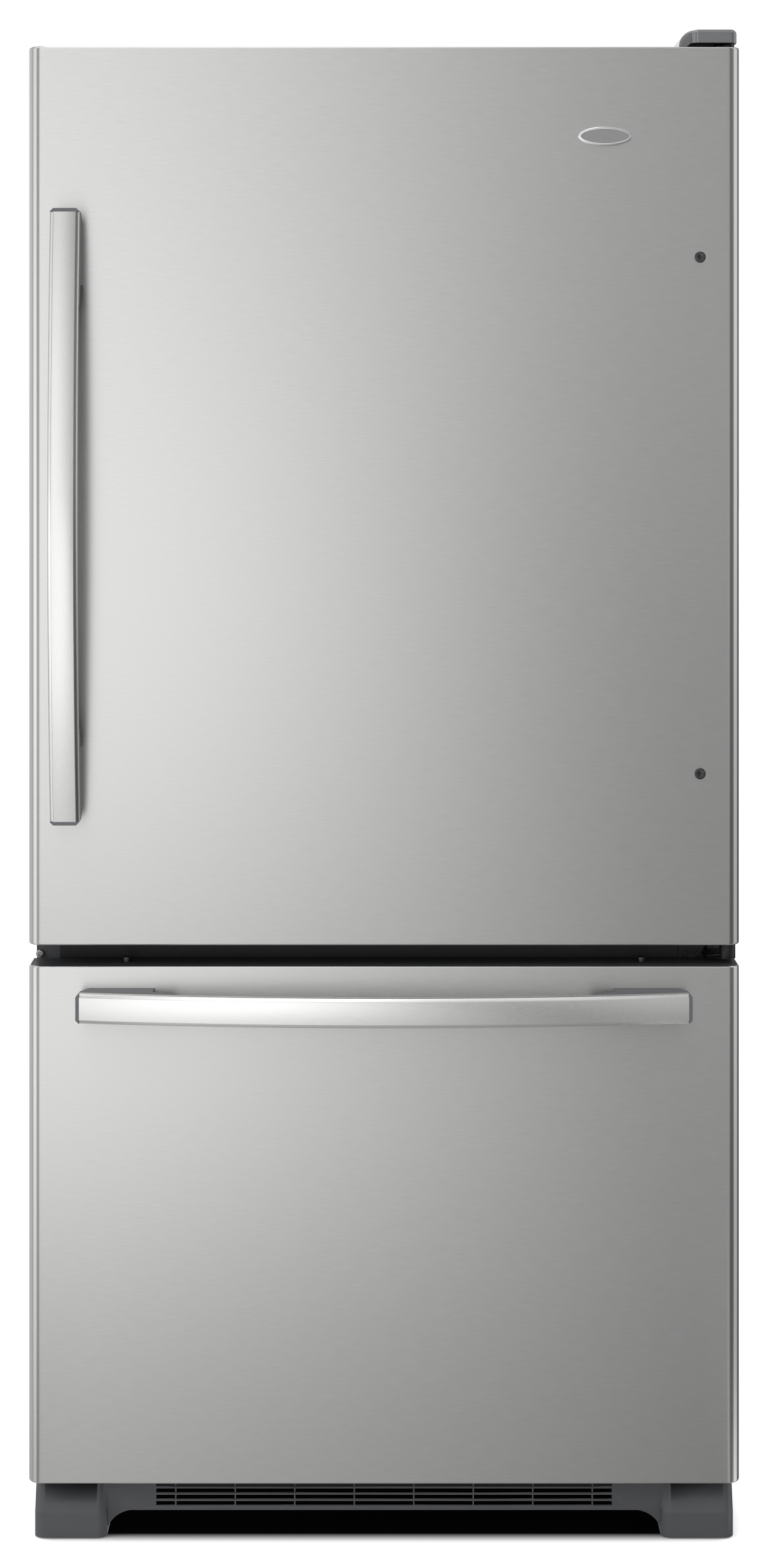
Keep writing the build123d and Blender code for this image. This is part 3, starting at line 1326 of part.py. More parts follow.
with BuildPart() as base_frame:
    frame_y = (cabinet_front_y + 6, rear_stop_y)
    for side in (-1, 1):
        block(*sided(side, frame_rail_half - frame_sheet, frame_rail_half), *frame_y, *frame_z)
        block(*sided(side, frame_rail_half - frame_flange, frame_rail_half), frame_y[0],
              machine_front_y, frame_z[1] - frame_sheet, frame_z[1])
        # Nut block of the levelling leg
        block(side * leg_x - nut_half, side * leg_x + nut_half, leg_y - nut_half, leg_y + nut_half,
              frame_z[1] - nut_height, frame_z[1])
        # Inner cheek of the roller
        block(*sided(side, cheek_x - frame_sheet, cheek_x), roller_y - cheek_reach, rear_stop_y,
              *cheek_z)
    block(-frame_rail_half, frame_rail_half, frame_y[0], frame_y[0] + frame_sheet, front_rail_low_z,
          frame_z[1])
    # Tray of the machine compartment, cut away over the rollers
    tray_cut_y = roller_y - roller_radius - 6
    block(-frame_rail_half, frame_rail_half, machine_front_y + 5, tray_cut_y, tray_z, tray_top)
    block(-cheek_x, cheek_x, tray_cut_y - 1, rear_stop_y, tray_z, tray_top)
    for side in (-1, 1):
        upright_rod(side * leg_x, leg_y, frame_z[1] - nut_height - 1, frame_z[1] + 1,
                    leg_radius + bearing_clearance, Mode.SUBTRACT)
        low, high = sided(side, cheek_x - frame_sheet, frame_rail_half)
        cross_rod(low, high, roller_y, roller_radius, axle_radius)
base_frame.part.label = "base_frame"
export_step(base_frame.part, "parts/base_frame.step")


def leveling_leg(side):
    """A threaded leg with a hexagon and a broad foot."""
    x = side * leg_x
    upright_rod(x, leg_y, 0, leg_foot_height, leg_foot_radius)
    with BuildSketch(Plane.XY.offset(leg_foot_height)) as hexagon:
        with Locations((x, leg_y)):
            RegularPolygon(leg_hexagon_radius, 6)
    extrude(hexagon.sketch, amount=leg_hexagon_height)
    upright_rod(x, leg_y, leg_foot_height, frame_z[1] - 3, leg_radius)


with BuildPart() as leveling_leg_left:
    leveling_leg(-1)
leveling_leg_left.part.label = "leveling_leg_left"
export_step(leveling_leg_left.part, "parts/leveling_leg_left.step")

with BuildPart() as leveling_leg_right:
    leveling_leg(1)
leveling_leg_right.part.label = "leveling_leg_right"
export_step(leveling_leg_right.part, "parts/leveling_leg_right.step")


def rear_roller(side):
    """A plain roller that turns on its bracket's axle."""
    low, high = sided(side, *roller_x)
    cross_rod(low, high, roller_y, roller_radius, roller_radius)
    cross_rod(low - 1, high + 1, roller_y, roller_radius, axle_radius + bearing_clearance,
              Mode.SUBTRACT)


with BuildPart() as rear_roller_left:
    rear_roller(-1)
rear_roller_left.part.label = "rear_roller_left"
export_step(rear_roller_left.part, "parts/rear_roller_left.step")

with BuildPart() as rear_roller_right:
    rear_roller(1)
rear_roller_right.part.label = "rear_roller_right"
export_step(rear_roller_right.part, "parts/rear_roller_right.step")

# Base grille with two foot covers
grille_y = door_front_y + 26.0
grille_wall = 3.0
grille_z = (cabinet_bottom_z - 1.0, drawer_bottom_z - 3.0)
grille_back_y = cabinet_front_y + 6.0
foot_front_y = door_front_y + 12.0
foot_back_y = cabinet_front_y - 2.0
foot_outer_x = shell_half - 3.0
foot_width = 85.0
foot_inner_x = foot_outer_x - foot_width
foot_clearance = 1.5
foot_step_z = 31.0
foot_corner = 12.0
foot_step_round = 8.0
sweep_width = 27.0
sweep_rise = 8.0
sweep_overlap = 10.0
sweep_radius = 34.0
slot_margin_x = 30.0
slot_low_margin = 5.5
slot_pitch_z = 7.4
slot_height_z = 5.0
slot_rows = 4
rib_pitch = 70.0
rib_width = 1.6
foot_sweep_x = foot_inner_x - sweep_width
slot_half = foot_sweep_x - slot_margin_x


def foot_form(side, wall):
    """Foot cover with rounded front corners; a wall over 0 gives the hollow inside it."""
    x0, x1 = sided(side, foot_inner_x + wall, foot_outer_x - wall)
    front = foot_front_y + wall
    slope_back = grille_y + wall
    top = grille_z[1] - wall
    back = foot_back_y + min(wall, 1)
    base = foot_clearance - min(wall, 1)
    with BuildPart(mode=Mode.PRIVATE) as foot:
        with BuildSketch(Plane.YZ.offset(x0)):
            with BuildLine():
                Polyline((front, base), (front, foot_step_z), (slope_back, top), (back, top),
                         (back, base), close=True)
            make_face()
        extrude(amount=x1 - x0)
        step = foot.edges().filter_by(Axis.X).group_by(Axis.Y)[0].sort_by(Axis.Z)[-1]
        fillet(step, foot_step_round - wall / 2)
        fillet(foot.faces().group_by(Axis.Y)[0].edges().filter_by(Axis.Z), foot_corner - wall)
    return foot.part


with BuildPart() as base_grille:
    face_half = foot_inner_x + 2 * grille_wall
    block(-face_half, face_half, grille_y, grille_y + grille_wall, *grille_z)
    block(-foot_outer_x, foot_outer_x, grille_y, grille_back_y, grille_z[1] - grille_wall,
          grille_z[1])
    for side in (-1, 1):
        add(foot_form(side, 0))
        add(foot_form(side, grille_wall), mode=Mode.SUBTRACT)
        # Sweep that joins the foot cover to the grille's lower edge
        with BuildSketch(upright(grille_y)):
            with BuildLine():
                sweep_low = (side * foot_inner_x, foot_clearance + sweep_rise)
                sweep_high = (side * foot_sweep_x, grille_z[0])
                sweep_top_z = grille_z[0] + sweep_overlap
                RadiusArc(sweep_low, sweep_high, -side * sweep_radius)
                Polyline(sweep_high, (side * foot_sweep_x, sweep_top_z),
                         (side * foot_inner_x, sweep_top_z), sweep_low)
            make_face()
        extrude(amount=-grille_wall)
    for row in range(slot_rows):
        slot_z = grille_z[0] + slot_low_margin + row * slot_pitch_z
        block(-slot_half, slot_half, grille_y - 1, grille_y + grille_wall + 1, slot_z,
              slot_z + slot_height_z, Mode.SUBTRACT)
    rib_count = int(2 * slot_half / rib_pitch) + 1
    with Locations((0, grille_y + grille_wall / 2, sum(grille_z) / 2)):
        with GridLocations(rib_pitch, 1, rib_count, 1):
            Box(rib_width, grille_wall, grille_z[1] - grille_z[0] - 2 * grille_wall)
base_grille.part.label = "base_grille"
export_step(base_grille.part, "parts/base_grille.step")

# ---------------------------------------------------------------- machine compartment
compressor_x = 183.0 - shell_half
compressor_radius = 78.0
compressor_foot = 6.0
compressor_height = 178.0
compressor_dome = 52.0
compressor_base = (100.0, 70.0)
compressor_base_sheet = 6.0
isolator_spacing = (170.0, 110.0)
isolator_radius = 9.0
isolator_height = 16.0
terminal_box = (44.0, 52.0, 60.0)
condenser_x = (70.0, shell_half - 83.0)
plate_sheet = 2.0
tube_radius = 3.0
tube_rows = 6
tube_pitch = 38.0
tube_bend_radius = 16.0
tube_low_z = 62.0
tube_overhang = (14.0, 16.0)
tube_layer_inset = 14.0
plate_top_z = machine_roof_z - 14.0
cover_sheet = 1.2
cover_tile_gap = 0.4
vent_slot = (6.0, 34.0)
vent_pitch = (12.0, 46.0)
vent_counts = (18, 4)
vent_middle = (-150.0, 150.0)
machine_cover_y = rear_stop_y
machine_cover_z = (tray_top + 6.0, machine_roof_z - steel_thickness - 1.0)
inlet_tile_x = (shell_half - 73.0, shell_inner_half - 2.0)
inlet_tile_low_z = machine_cover_z[1] - 80.0
inlet_tile_sheet = 2.0
inlet_x = sum(inlet_tile_x) / 2
inlet_z = (inlet_tile_low_z + machine_cover_z[1]) / 2
inlet_boss_radius = 9.0
inlet_boss_out = 4.0
inlet_boss_in = 10.0
inlet_bore_radius = 4.2

with BuildPart() as compressor:
    centre_y = condenser_fan_y
    can_base_z = tray_top + compressor_foot + 4
    upright_rod(compressor_x, centre_y, can_base_z, can_base_z + compressor_height, compressor_radius)
    fillet(compressor.edges().filter_by(GeomType.CIRCLE).sort_by(Axis.Z)[-1], compressor_dome)
    base_z = tray_top + compressor_foot
    block(compressor_x - compressor_base[0], compressor_x + compressor_base[0],
          centre_y - compressor_base[1], centre_y + compressor_base[1], base_z,
          base_z + compressor_base_sheet)
    for x_side in (-1, 1):
        for y_side in (-1, 1):
            upright_rod(compressor_x + x_side * isolator_spacing[0] / 2,
                        centre_y + y_side * isolator_spacing[1] / 2, tray_top,
                        tray_top + isolator_height, isolator_radius)
    # Terminal box, let into the can's side
    box_x = compressor_x + compressor_radius - 10
    box_z = tray_top + 60
    block(box_x, box_x + terminal_box[0], centre_y - terminal_box[1] / 2,
          centre_y + terminal_box[1] / 2, box_z, box_z + terminal_box[2])
compressor.part.label = "compressor"
export_step(compressor.part, "parts/compressor.step")

# Two layers of serpentine tube between end plates, the inner plate with the fan's opening
with BuildPart() as condenser_coil:
    plate_y = (machine_front_y + 12, machine_cover_y - 4)
    for x in condenser_x:
        block(x, x + plate_sheet, *plate_y, tray_top, plate_top_z)
    cross_rod(condenser_x[0] - 1, condenser_x[0] + plate_sheet + 1, condenser_fan_y,
              condenser_fan_z, condenser_fan_radius + 4, Mode.SUBTRACT)
    tube_ends = (condenser_x[0] - tube_overhang[0], condenser_x[1] + tube_overhang[1])
    tube_points = []
    for row in range(tube_rows):
        row_z = tube_low_z + row * tube_pitch
        for x in tube_ends if row % 2 == 0 else tube_ends[::-1]:
            tube_points.append((x, row_z))
    for layer_y in (plate_y[0] + tube_layer_inset, plate_y[1] - tube_layer_inset):
        with BuildLine(upright(layer_y)) as route:
            FilletPolyline(*tube_points, radius=tube_bend_radius)
        with BuildSketch(Plane(origin=route.line @ 0, z_dir=route.line % 0)) as tube_end:
            Circle(tube_radius)
        sweep(tube_end.sketch, path=route.line)
condenser_coil.part.label = "condenser_coil"
export_step(condenser_coil.part, "parts/condenser_coil.step")

# The cover stops short of a moulded corner tile, which carries the cord's inlet
with BuildPart() as machine_cover:
    cover_y = (machine_cover_y, machine_cover_y + cover_sheet)
    split_x = inlet_tile_x[0] - cover_tile_gap
    block(-inlet_tile_x[1], split_x, *cover_y, *machine_cover_z)
    block(inlet_tile_x[0], inlet_tile_x[1], *cover_y, machine_cover_z[0],
          inlet_tile_low_z - cover_tile_gap)
    with Locations((vent_middle[0], machine_cover_y, vent_middle[1])):
        with GridLocations(vent_pitch[0], vent_pitch[1], *vent_counts):
            Box(vent_slot[0], 4 * cover_sheet, vent_slot[1], mode=Mode.SUBTRACT)
machine_cover.part.label = "machine_cover"
export_step(machine_cover.part, "parts/machine_cover.step")

with BuildPart() as power_inlet:
    tile_back_y = machine_cover_y + inlet_tile_sheet
    block(*inlet_tile_x, machine_cover_y, tile_back_y, inlet_tile_low_z, machine_cover_z[1])
    depth_rod(inlet_x, machine_cover_y - inlet_boss_in, tile_back_y + inlet_boss_out, inlet_z,
              inlet_boss_radius)
    depth_rod(inlet_x, machine_cover_y - inlet_boss_in - 1, tile_back_y + inlet_boss_out + 1, inlet_z,
              inlet_bore_radius, Mode.SUBTRACT)
power_inlet.part.label = "power_inlet"
export_step(power_inlet.part, "parts/power_inlet.step")
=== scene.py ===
"""Dresses the bottom freezer refrigerator: finishes, small trim, wire baskets, studio and camera.

Everything is in metres, in the model's own frame: +Z up, the doors face -Y, +X to the right.
"""
import json
import math

import bpy
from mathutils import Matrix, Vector


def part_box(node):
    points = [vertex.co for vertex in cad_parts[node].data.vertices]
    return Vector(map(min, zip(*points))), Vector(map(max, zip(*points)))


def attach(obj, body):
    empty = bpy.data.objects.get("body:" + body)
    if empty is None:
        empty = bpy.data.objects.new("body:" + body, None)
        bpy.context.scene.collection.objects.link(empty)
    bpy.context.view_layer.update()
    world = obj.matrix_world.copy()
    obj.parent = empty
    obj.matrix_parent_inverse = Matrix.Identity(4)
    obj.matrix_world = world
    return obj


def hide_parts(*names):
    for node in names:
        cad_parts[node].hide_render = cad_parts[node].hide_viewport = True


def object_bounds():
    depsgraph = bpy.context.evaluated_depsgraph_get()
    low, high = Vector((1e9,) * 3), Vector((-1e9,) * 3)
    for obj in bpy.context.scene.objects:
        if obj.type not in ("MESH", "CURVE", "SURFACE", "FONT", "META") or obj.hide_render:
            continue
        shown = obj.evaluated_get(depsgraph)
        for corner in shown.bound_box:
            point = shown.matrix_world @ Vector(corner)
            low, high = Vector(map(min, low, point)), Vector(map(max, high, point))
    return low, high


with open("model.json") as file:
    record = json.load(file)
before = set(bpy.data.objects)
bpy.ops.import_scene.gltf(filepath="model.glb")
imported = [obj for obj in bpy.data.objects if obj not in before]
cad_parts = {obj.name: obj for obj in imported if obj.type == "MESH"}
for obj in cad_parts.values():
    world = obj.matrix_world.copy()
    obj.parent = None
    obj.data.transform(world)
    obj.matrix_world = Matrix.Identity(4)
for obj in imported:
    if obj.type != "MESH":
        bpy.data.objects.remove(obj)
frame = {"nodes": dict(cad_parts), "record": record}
nodes = frame["nodes"]
cad_low, cad_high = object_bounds()
MM = 0.001


# ---------------------------------------------------------------- shared helpers
def colour(code):
    """Linear colour of an sRGB hex code."""
    parts = [int(code[i:i + 2], 16) / 255 for i in (0, 2, 4)]
    return [p / 12.92 if p <= 0.04045 else ((p + 0.055) / 1.055) ** 2.4 for p in parts] + [1.0]


def add(tree, kind, inputs=None, **settings):
    """Adds a shader node with its settings; an input is a value or another node's output."""
    node = tree.nodes.new(kind)
    for name, value in settings.items():
        setattr(node, name, value)
    for socket, value in (inputs or {}).items():
        if isinstance(value, bpy.types.NodeSocket):
            tree.links.new(value, node.inputs[socket])
        else:
            node.inputs[socket].default_value = value
    return node


def start_material(name, base, **shader):
    """A material with one Principled shader. Returns the material, its node tree and the shader."""
    made = bpy.data.materials.new(name)
    made.use_nodes = True
    tree = made.node_tree
    principled = tree.nodes["Principled BSDF"]
    principled.inputs["Base Color"].default_value = colour(base)
    for socket, value in shader.items():
        principled.inputs[socket.replace("_", " ").title().replace("Ior", "IOR")].default_value = value
    made.diffuse_color = colour(base)
    return made, tree, principled


def grain(tree, spacing, detail=2.0, stretch=(1, 1, 1)):
    """Noise whose features are about spacing metres apart, stretched along an axis."""
    place = add(tree, "ShaderNodeTexCoord")
    scaled = add(tree, "ShaderNodeMapping", {"Vector": place.outputs["Object"],
                                             "Scale": [1 / (spacing * s) for s in stretch]})
    return add(tree, "ShaderNodeTexNoise", {"Vector": scaled.outputs["Vector"], "Scale": 1.0,
                                            "Detail": detail}).outputs["Fac"]


def spread(tree, source, low, high):
    """Maps the middle range of a noise to low..high."""
    return add(tree, "ShaderNodeMapRange", {"Value": source, "From Min": 0.3, "From Max": 0.7,
                                            "To Min": low, "To Max": high}).outputs["Result"]


def shade_by(tree, shader, source, dark, light):
    """Base colour between two shades, by a pattern."""
    mixed = add(tree, "ShaderNodeMix", {"Factor": source, "A": colour(dark), "B": colour(light)},
                data_type="RGBA")
    tree.links.new(mixed.outputs[2], shader.inputs["Base Color"])


def bump_by(tree, shader, source, height):
    """Surface relief of a height in metres, by a pattern."""
    bump = add(tree, "ShaderNodeBump", {"Height": source, "Distance": height, "Strength": 1.0})
    tree.links.new(bump.outputs["Normal"], shader.inputs["Normal"])


# ---------------------------------------------------------------- finishes
def brushed_stainless(name, dark, light, rough, along, across, blur=0.75):
    """Brushed stainless sheet: fine parallel scratches that blur reflections across the brushing."""
    made, tree, shader = start_material(name, light, metallic=1.0, roughness=rough, anisotropic=blur)
    stretch = [1, 1, 1]
    stretch["xyz".index(along)] = 28
    # Real scratches are about 0.1 mm apart; drawn at 0.7 mm so that they show
    scratches = grain(tree, 0.7 * MM, stretch=stretch)
    shade_by(tree, shader, spread(tree, scratches, 0, 1), dark, light)
    tree.links.new(spread(tree, scratches, rough - 0.02, rough + 0.02), shader.inputs["Roughness"])
    # The blur runs across the scratches
    tangent = add(tree, "ShaderNodeVectorTransform", {"Vector": across}, vector_type="VECTOR",
                  convert_from="OBJECT", convert_to="WORLD")
    tree.links.new(tangent.outputs["Vector"], shader.inputs["Tangent"])
    return made


def moulded_plastic(name, base, deep, rough):
    """Moulded ABS, acetal or nylon with a fine spark-eroded grain that softens its shine."""
    made, tree, shader = start_material(name, base, roughness=rough, ior=1.53)
    texture = grain(tree, 0.9 * MM)
    shade_by(tree, shader, spread(tree, grain(tree, 25 * MM), 0, 1), deep, base)
    tree.links.new(spread(tree, texture, rough - 0.05, rough + 0.05), shader.inputs["Roughness"])
    bump_by(tree, shader, texture, 0.05 * MM)
    return made


def painted_steel(name, base, deep, rough, relief):
    """Baked enamel on steel with an embossed orange-peel texture."""
    made, tree, shader = start_material(name, base, roughness=rough, ior=1.5)
    peel = grain(tree, 2.2 * MM, 1.0)
    shade_by(tree, shader, spread(tree, grain(tree, 40 * MM), 0, 1), deep, base)
    bump_by(tree, shader, peel, relief)
    return made


def zinc_plate(name, dull, bright, cloud_size, rough=0.34, metal=1.0, change=0.15):
    """Zinc-coated or chromed steel, faintly cloudy; change is the share its roughness varies by."""
    made, tree, shader = start_material(name, bright, metallic=metal, roughness=rough)
    cloud = grain(tree, cloud_size)
    shade_by(tree, shader, spread(tree, cloud, 0, 1), dull, bright)
    least, most = rough * (1 - change), rough * (1 + change)
    tree.links.new(spread(tree, cloud, least, most), shader.inputs["Roughness"])
    return made


def clear_plastic(name, tint, rough, alpha):
    """Clear styrene: pale, glossy and see-through."""
    made, tree, shader = start_material(name, tint, roughness=rough, ior=1.57, alpha=alpha)
    bump_by(tree, shader, grain(tree, 14 * MM, 1.0), 0.12 * MM)
    return made


def white_styrene(name, base, rough):
    """Vacuum-formed styrene, glossy white with a faint ripple from the forming."""
    made, tree, shader = start_material(name, base, roughness=rough, ior=1.57)
    shade_by(tree, shader, spread(tree, grain(tree, 120 * MM), 0, 1), "e4e6e6", base)
    bump_by(tree, shader, grain(tree, 30 * MM, 1.0), 0.1 * MM)
    return made


def soft_vinyl(name, base):
    """Extruded vinyl gasket, matt."""
    made, tree, shader = start_material(name, base, roughness=0.62, ior=1.52)
    bump_by(tree, shader, grain(tree, 1.5 * MM), 0.04 * MM)
    return made


def rigid_foam(name):
    """Blown polyurethane, pale yellow with a crust of small cells."""
    made, tree, shader = start_material(name, "d9c88a", roughness=0.9)
    cells = grain(tree, 3 * MM, 4.0)
    shade_by(tree, shader, spread(tree, cells, 0, 1), "c4b074", "e2d49c")
    bump_by(tree, shader, cells, 0.4 * MM)
    return made


stainless = brushed_stainless("brushed_stainless_sheet", "cccccb", "d3d3d2", 0.32, "x", (0, 0, 1))
bar_upright = brushed_stainless("brushed_stainless_bar_upright", "cfcfce", "d6d6d5", 0.2, "z", (1, 0, 0),
                                blur=0.4)
bar_level = brushed_stainless("brushed_stainless_bar_level", "e6e6e5", "ededec", 0.26, "x", (0, 0, 1),
                              blur=0.5)
chrome = zinc_plate("polished_chrome", "e6e6e6", "ececec", 12 * MM, 0.14)
mount_abs = moulded_plastic("dark_grey_abs", "5c5d60", "57585b", 0.42)
cap_abs = moulded_plastic("black_abs", "363739", "333436", 0.5)
cover_abs = moulded_plastic("grey_gloss_abs", "5f6062", "5c5d5f", 0.3)
# A smooth gloss over the grain, which gives the hinge cover its clear highlights
for socket, value in (("Coat Weight", 1.0), ("Coat Roughness", 0.07), ("Coat IOR", 1.7)):
    cover_abs.node_tree.nodes["Principled BSDF"].inputs[socket].default_value = value
satin_field = zinc_plate("satin_chrome", "a4a4a4", "a9a9a9", 4 * MM, 0.4)
grille_abs = moulded_plastic("charcoal_abs", "48494b", "454648", 0.46)
bush_acetal = moulded_plastic("black_acetal", "161617", "111112", 0.4)
cabinet_enamel = painted_steel("dark_grey_textured_enamel", "434447", "414245", 0.42, 0.1 * MM)
black_enamel = painted_steel("black_enamel", "1c1d1f", "161718", 0.45, 0.05 * MM)
# Weathered zinc sheet is dull and only half mirrors
panel_steel = zinc_plate("galvanised_sheet", "9a9c9e", "a3a5a6", 14 * MM, 0.55, 0.5, 0.04)
zinc = zinc_plate("zinc_plated_steel", "9c9ea1", "b4b5b5", 6 * MM)
dark_zinc = zinc_plate("dark_zinc_plated_steel", "4e4f50", "5c5d5e", 6 * MM)
white_enamel = painted_steel("white_enamel", "eceeee", "e4e6e6", 0.35, 0.03 * MM)
liner_styrene = white_styrene("white_styrene", "eef0f0", 0.24)
clear_styrene = clear_plastic("clear_styrene", "e9f2f5", 0.08, 0.32)
pane_glass = clear_plastic("tempered_glass", "dcefe8", 0.02, 0.22)
grey_vinyl = soft_vinyl("grey_vinyl", "85878a")
foam = rigid_foam("polyurethane_foam")
black_pressing = painted_steel("black_baked_paint", "19191a", "141415", 0.35, 0.08 * MM)
nylon = moulded_plastic("black_nylon", "2a2a2b", "232324", 0.55)
control_abs = moulded_plastic("pale_grey_abs", "d3d5d6", "cccfd0", 0.35)

finish_of = {
    stainless: ["door_skin", "drawer_skin"],
    bar_upright: ["door_handle"],
    bar_level: ["drawer_handle"],
    mount_abs: ["door_handle_mounts", "drawer_handle_mounts"],
    cap_abs: ["door_end_caps", "drawer_end_caps"],
    cover_abs: ["top_hinge_cover"],
    grille_abs: ["base_grille"],
    bush_acetal: ["door_hinge_bushes", "power_inlet"],
    cabinet_enamel: ["cabinet_shell"],
    black_enamel: ["mullion_rail", "center_hinge_bracket", "top_hinge_bracket", "base_frame"],
    panel_steel: ["rear_panel", "machine_cover"],
    dark_zinc: ["cabinet_screws", "door_plug_screws"],
    zinc: ["leveling_leg_left", "leveling_leg_right", "slide_outer_rails", "slide_middle_rails"],
    white_enamel: ["drawer_frame", "shelf_supports", "lower_basket", "upper_basket"],
    liner_styrene: ["fridge_liner", "freezer_liner", "door_liner", "drawer_liner",
                    "evaporator_cover", "control_housing", "crisper_cover", "shelf_frames"],
    clear_styrene: ["crisper_left", "crisper_right", "door_bins", "dairy_lid", "light_lens"],
    pane_glass: ["shelf_panes"],
    grey_vinyl: ["door_gasket", "drawer_gasket"],
    foam: ["insulation_foam", "door_foam", "drawer_foam"],
    black_pressing: ["compressor", "condenser_coil", "fan_motors"],
    nylon: ["condenser_fan", "evaporator_fan", "rear_roller_left", "rear_roller_right"],
    control_abs: ["humidity_slider_left", "humidity_slider_right", "fridge_knob", "freezer_knob",
                  "switch_plunger"],
}
for finish, names in finish_of.items():
    for name in names:
        nodes[name].data.materials.clear()
        nodes[name].data.materials.append(finish)


# ---------------------------------------------------------------- modelled pieces
record = frame["record"]
body_of = {node: body for body, members in record["behaviour"]["bodies"].items() for node in members}


def deselect():
    """Leaves no object selected, so that an operator acts on the next piece alone."""
    bpy.ops.object.select_all(action="DESELECT")


def box(name, low, high):
    """A box between two corners, with its place in its mesh."""
    deselect()
    middle = [(a + b) / 2 for a, b in zip(low, high)]
    bpy.ops.mesh.primitive_cube_add(size=1, location=middle)
    piece = bpy.context.object
    piece.name = name
    piece.scale = [b - a for a, b in zip(low, high)]
    bpy.ops.object.transform_apply(location=True, rotation=True, scale=True)
    return piece


def disc(name, middle, axis, radii, depth, sides):
    """A short round or oval bar along an axis, with its place in its mesh."""
    deselect()
    turn = (math.pi / 2, 0, 0) if axis == "y" else (0, 0, 0)
    bpy.ops.mesh.primitive_cylinder_add(vertices=sides, radius=1, depth=1, location=middle, rotation=turn)
    piece = bpy.context.object
    piece.name = name
    piece.scale = (radii[0], radii[1], depth)
    bpy.ops.object.transform_apply(location=True, rotation=True, scale=True)
    return piece


def choose(piece, kind, test):
    """Selects in edit mode the edges or faces whose middle and direction pass a test."""
    bpy.context.view_layer.objects.active = piece
    bpy.ops.object.mode_set(mode="EDIT")
    bpy.ops.mesh.select_mode(type=kind)
    bpy.ops.mesh.select_all(action="DESELECT")
    bpy.ops.object.mode_set(mode="OBJECT")
    points = piece.data.vertices
    if kind == "EDGE":
        for edge in piece.data.edges:
            first, last = (points[v].co for v in edge.vertices)
            edge.select = test((first + last) / 2, (last - first).normalized())
    else:
        for face in piece.data.polygons:
            face.select = test(face.center, face.normal)
    bpy.ops.object.mode_set(mode="EDIT")


def round_edges(piece, test, radius, steps):
    """Rounds the edges that pass a test."""
    choose(piece, "EDGE", test)
    bpy.ops.mesh.bevel(offset=radius, segments=steps, profile=0.5, affect="EDGES")
    bpy.ops.object.mode_set(mode="OBJECT")


def remove_faces(piece, test):
    """Deletes the faces that pass a test."""
    choose(piece, "FACE", test)
    bpy.ops.mesh.delete(type="FACE")
    bpy.ops.object.mode_set(mode="OBJECT")


def sink_faces(piece, test, margin, depth):
    """Insets the faces that pass a test and pushes the middle in."""
    choose(piece, "FACE", test)
    bpy.ops.mesh.inset(thickness=margin)
    bpy.ops.mesh.inset(thickness=depth * 0.5, depth=-depth)
    bpy.ops.object.mode_set(mode="OBJECT")


def apply(piece, kind, **settings):
    """Adds a modifier and applies it."""
    deselect()
    piece.select_set(True)
    bpy.context.view_layer.objects.active = piece
    modifier = piece.modifiers.new(kind.lower(), kind)
    for name, value in settings.items():
        setattr(modifier, name, value)
    bpy.ops.object.modifier_apply(modifier=modifier.name)


def finish_piece(piece, finish, body, replaced=None, angle=35):
    """Smooths a piece, gives it its finish and puts it on its body."""
    deselect()
    piece.select_set(True)
    bpy.context.view_layer.objects.active = piece
    bpy.ops.object.shade_smooth_by_angle(angle=math.radians(angle))
    piece.data.materials.clear()
    piece.data.materials.append(finish)
    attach(piece, body)
    if replaced:
        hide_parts(replaced)


def smooth_copy(node, name, angle=40):
    """A merged, smoothly shaded copy of a node that stands in its place."""
    piece = bpy.data.objects.new(name, nodes[node].data.copy())
    bpy.context.scene.collection.objects.link(piece)
    deselect()
    piece.select_set(True)
    bpy.context.view_layer.objects.active = piece
    bpy.ops.object.mode_set(mode="EDIT")
    bpy.ops.mesh.select_all(action="SELECT")
    bpy.ops.mesh.remove_doubles(threshold=0.01 * MM)
    bpy.ops.object.mode_set(mode="OBJECT")
    finish_piece(piece, nodes[node].data.materials[0], body_of[node], node, angle)
    # Flat faces keep their own normal beside rounded edges
    apply(piece, "WEIGHTED_NORMAL", keep_sharp=True)
    return piece


# ---------------------------------------------------------------- door and drawer fronts
def front_sheet(node, name):
    """Stainless sheet round a door: rolled upper and lower rims, rounded sides, narrow returns."""
    low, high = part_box(node)
    side_radius, rim_radius, return_width, gauge = 16 * MM, 2.2 * MM, 12 * MM, 0.8 * MM
    piece = box(name, low, high)
    round_edges(piece, lambda p, d: abs(d.z) > 0.9 and p.y < low.y + 1 * MM, side_radius, 16)
    round_edges(piece, lambda p, d: abs(d.z) < 0.1 and p.y < high.y - 1 * MM, rim_radius, 4)
    remove_faces(piece, lambda p, n: abs(n.z) > 0.99 or n.y > 0.99)
    for side in (-1, 1):
        choose(piece, "EDGE", lambda p, d: p.y > high.y - 0.1 * MM and p.x * side > 0 and abs(d.z) > 0.9)
        bpy.ops.mesh.extrude_region_move(TRANSFORM_OT_translate={"value": (-side * return_width, 0, 0)})
        bpy.ops.object.mode_set(mode="OBJECT")
    apply(piece, "SOLIDIFY", thickness=gauge, offset=-1)
    finish_piece(piece, stainless, body_of[node], node, 40)


front_sheet("door_skin", "door_front_sheet")
front_sheet("drawer_skin", "drawer_front_sheet")

door_low, door_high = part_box("door_skin")
drawer_low, drawer_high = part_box("drawer_skin")
cabinet_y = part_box("cabinet_shell")[0].y
hinge_plate_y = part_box("center_hinge_bracket")[1].y - 4 * MM


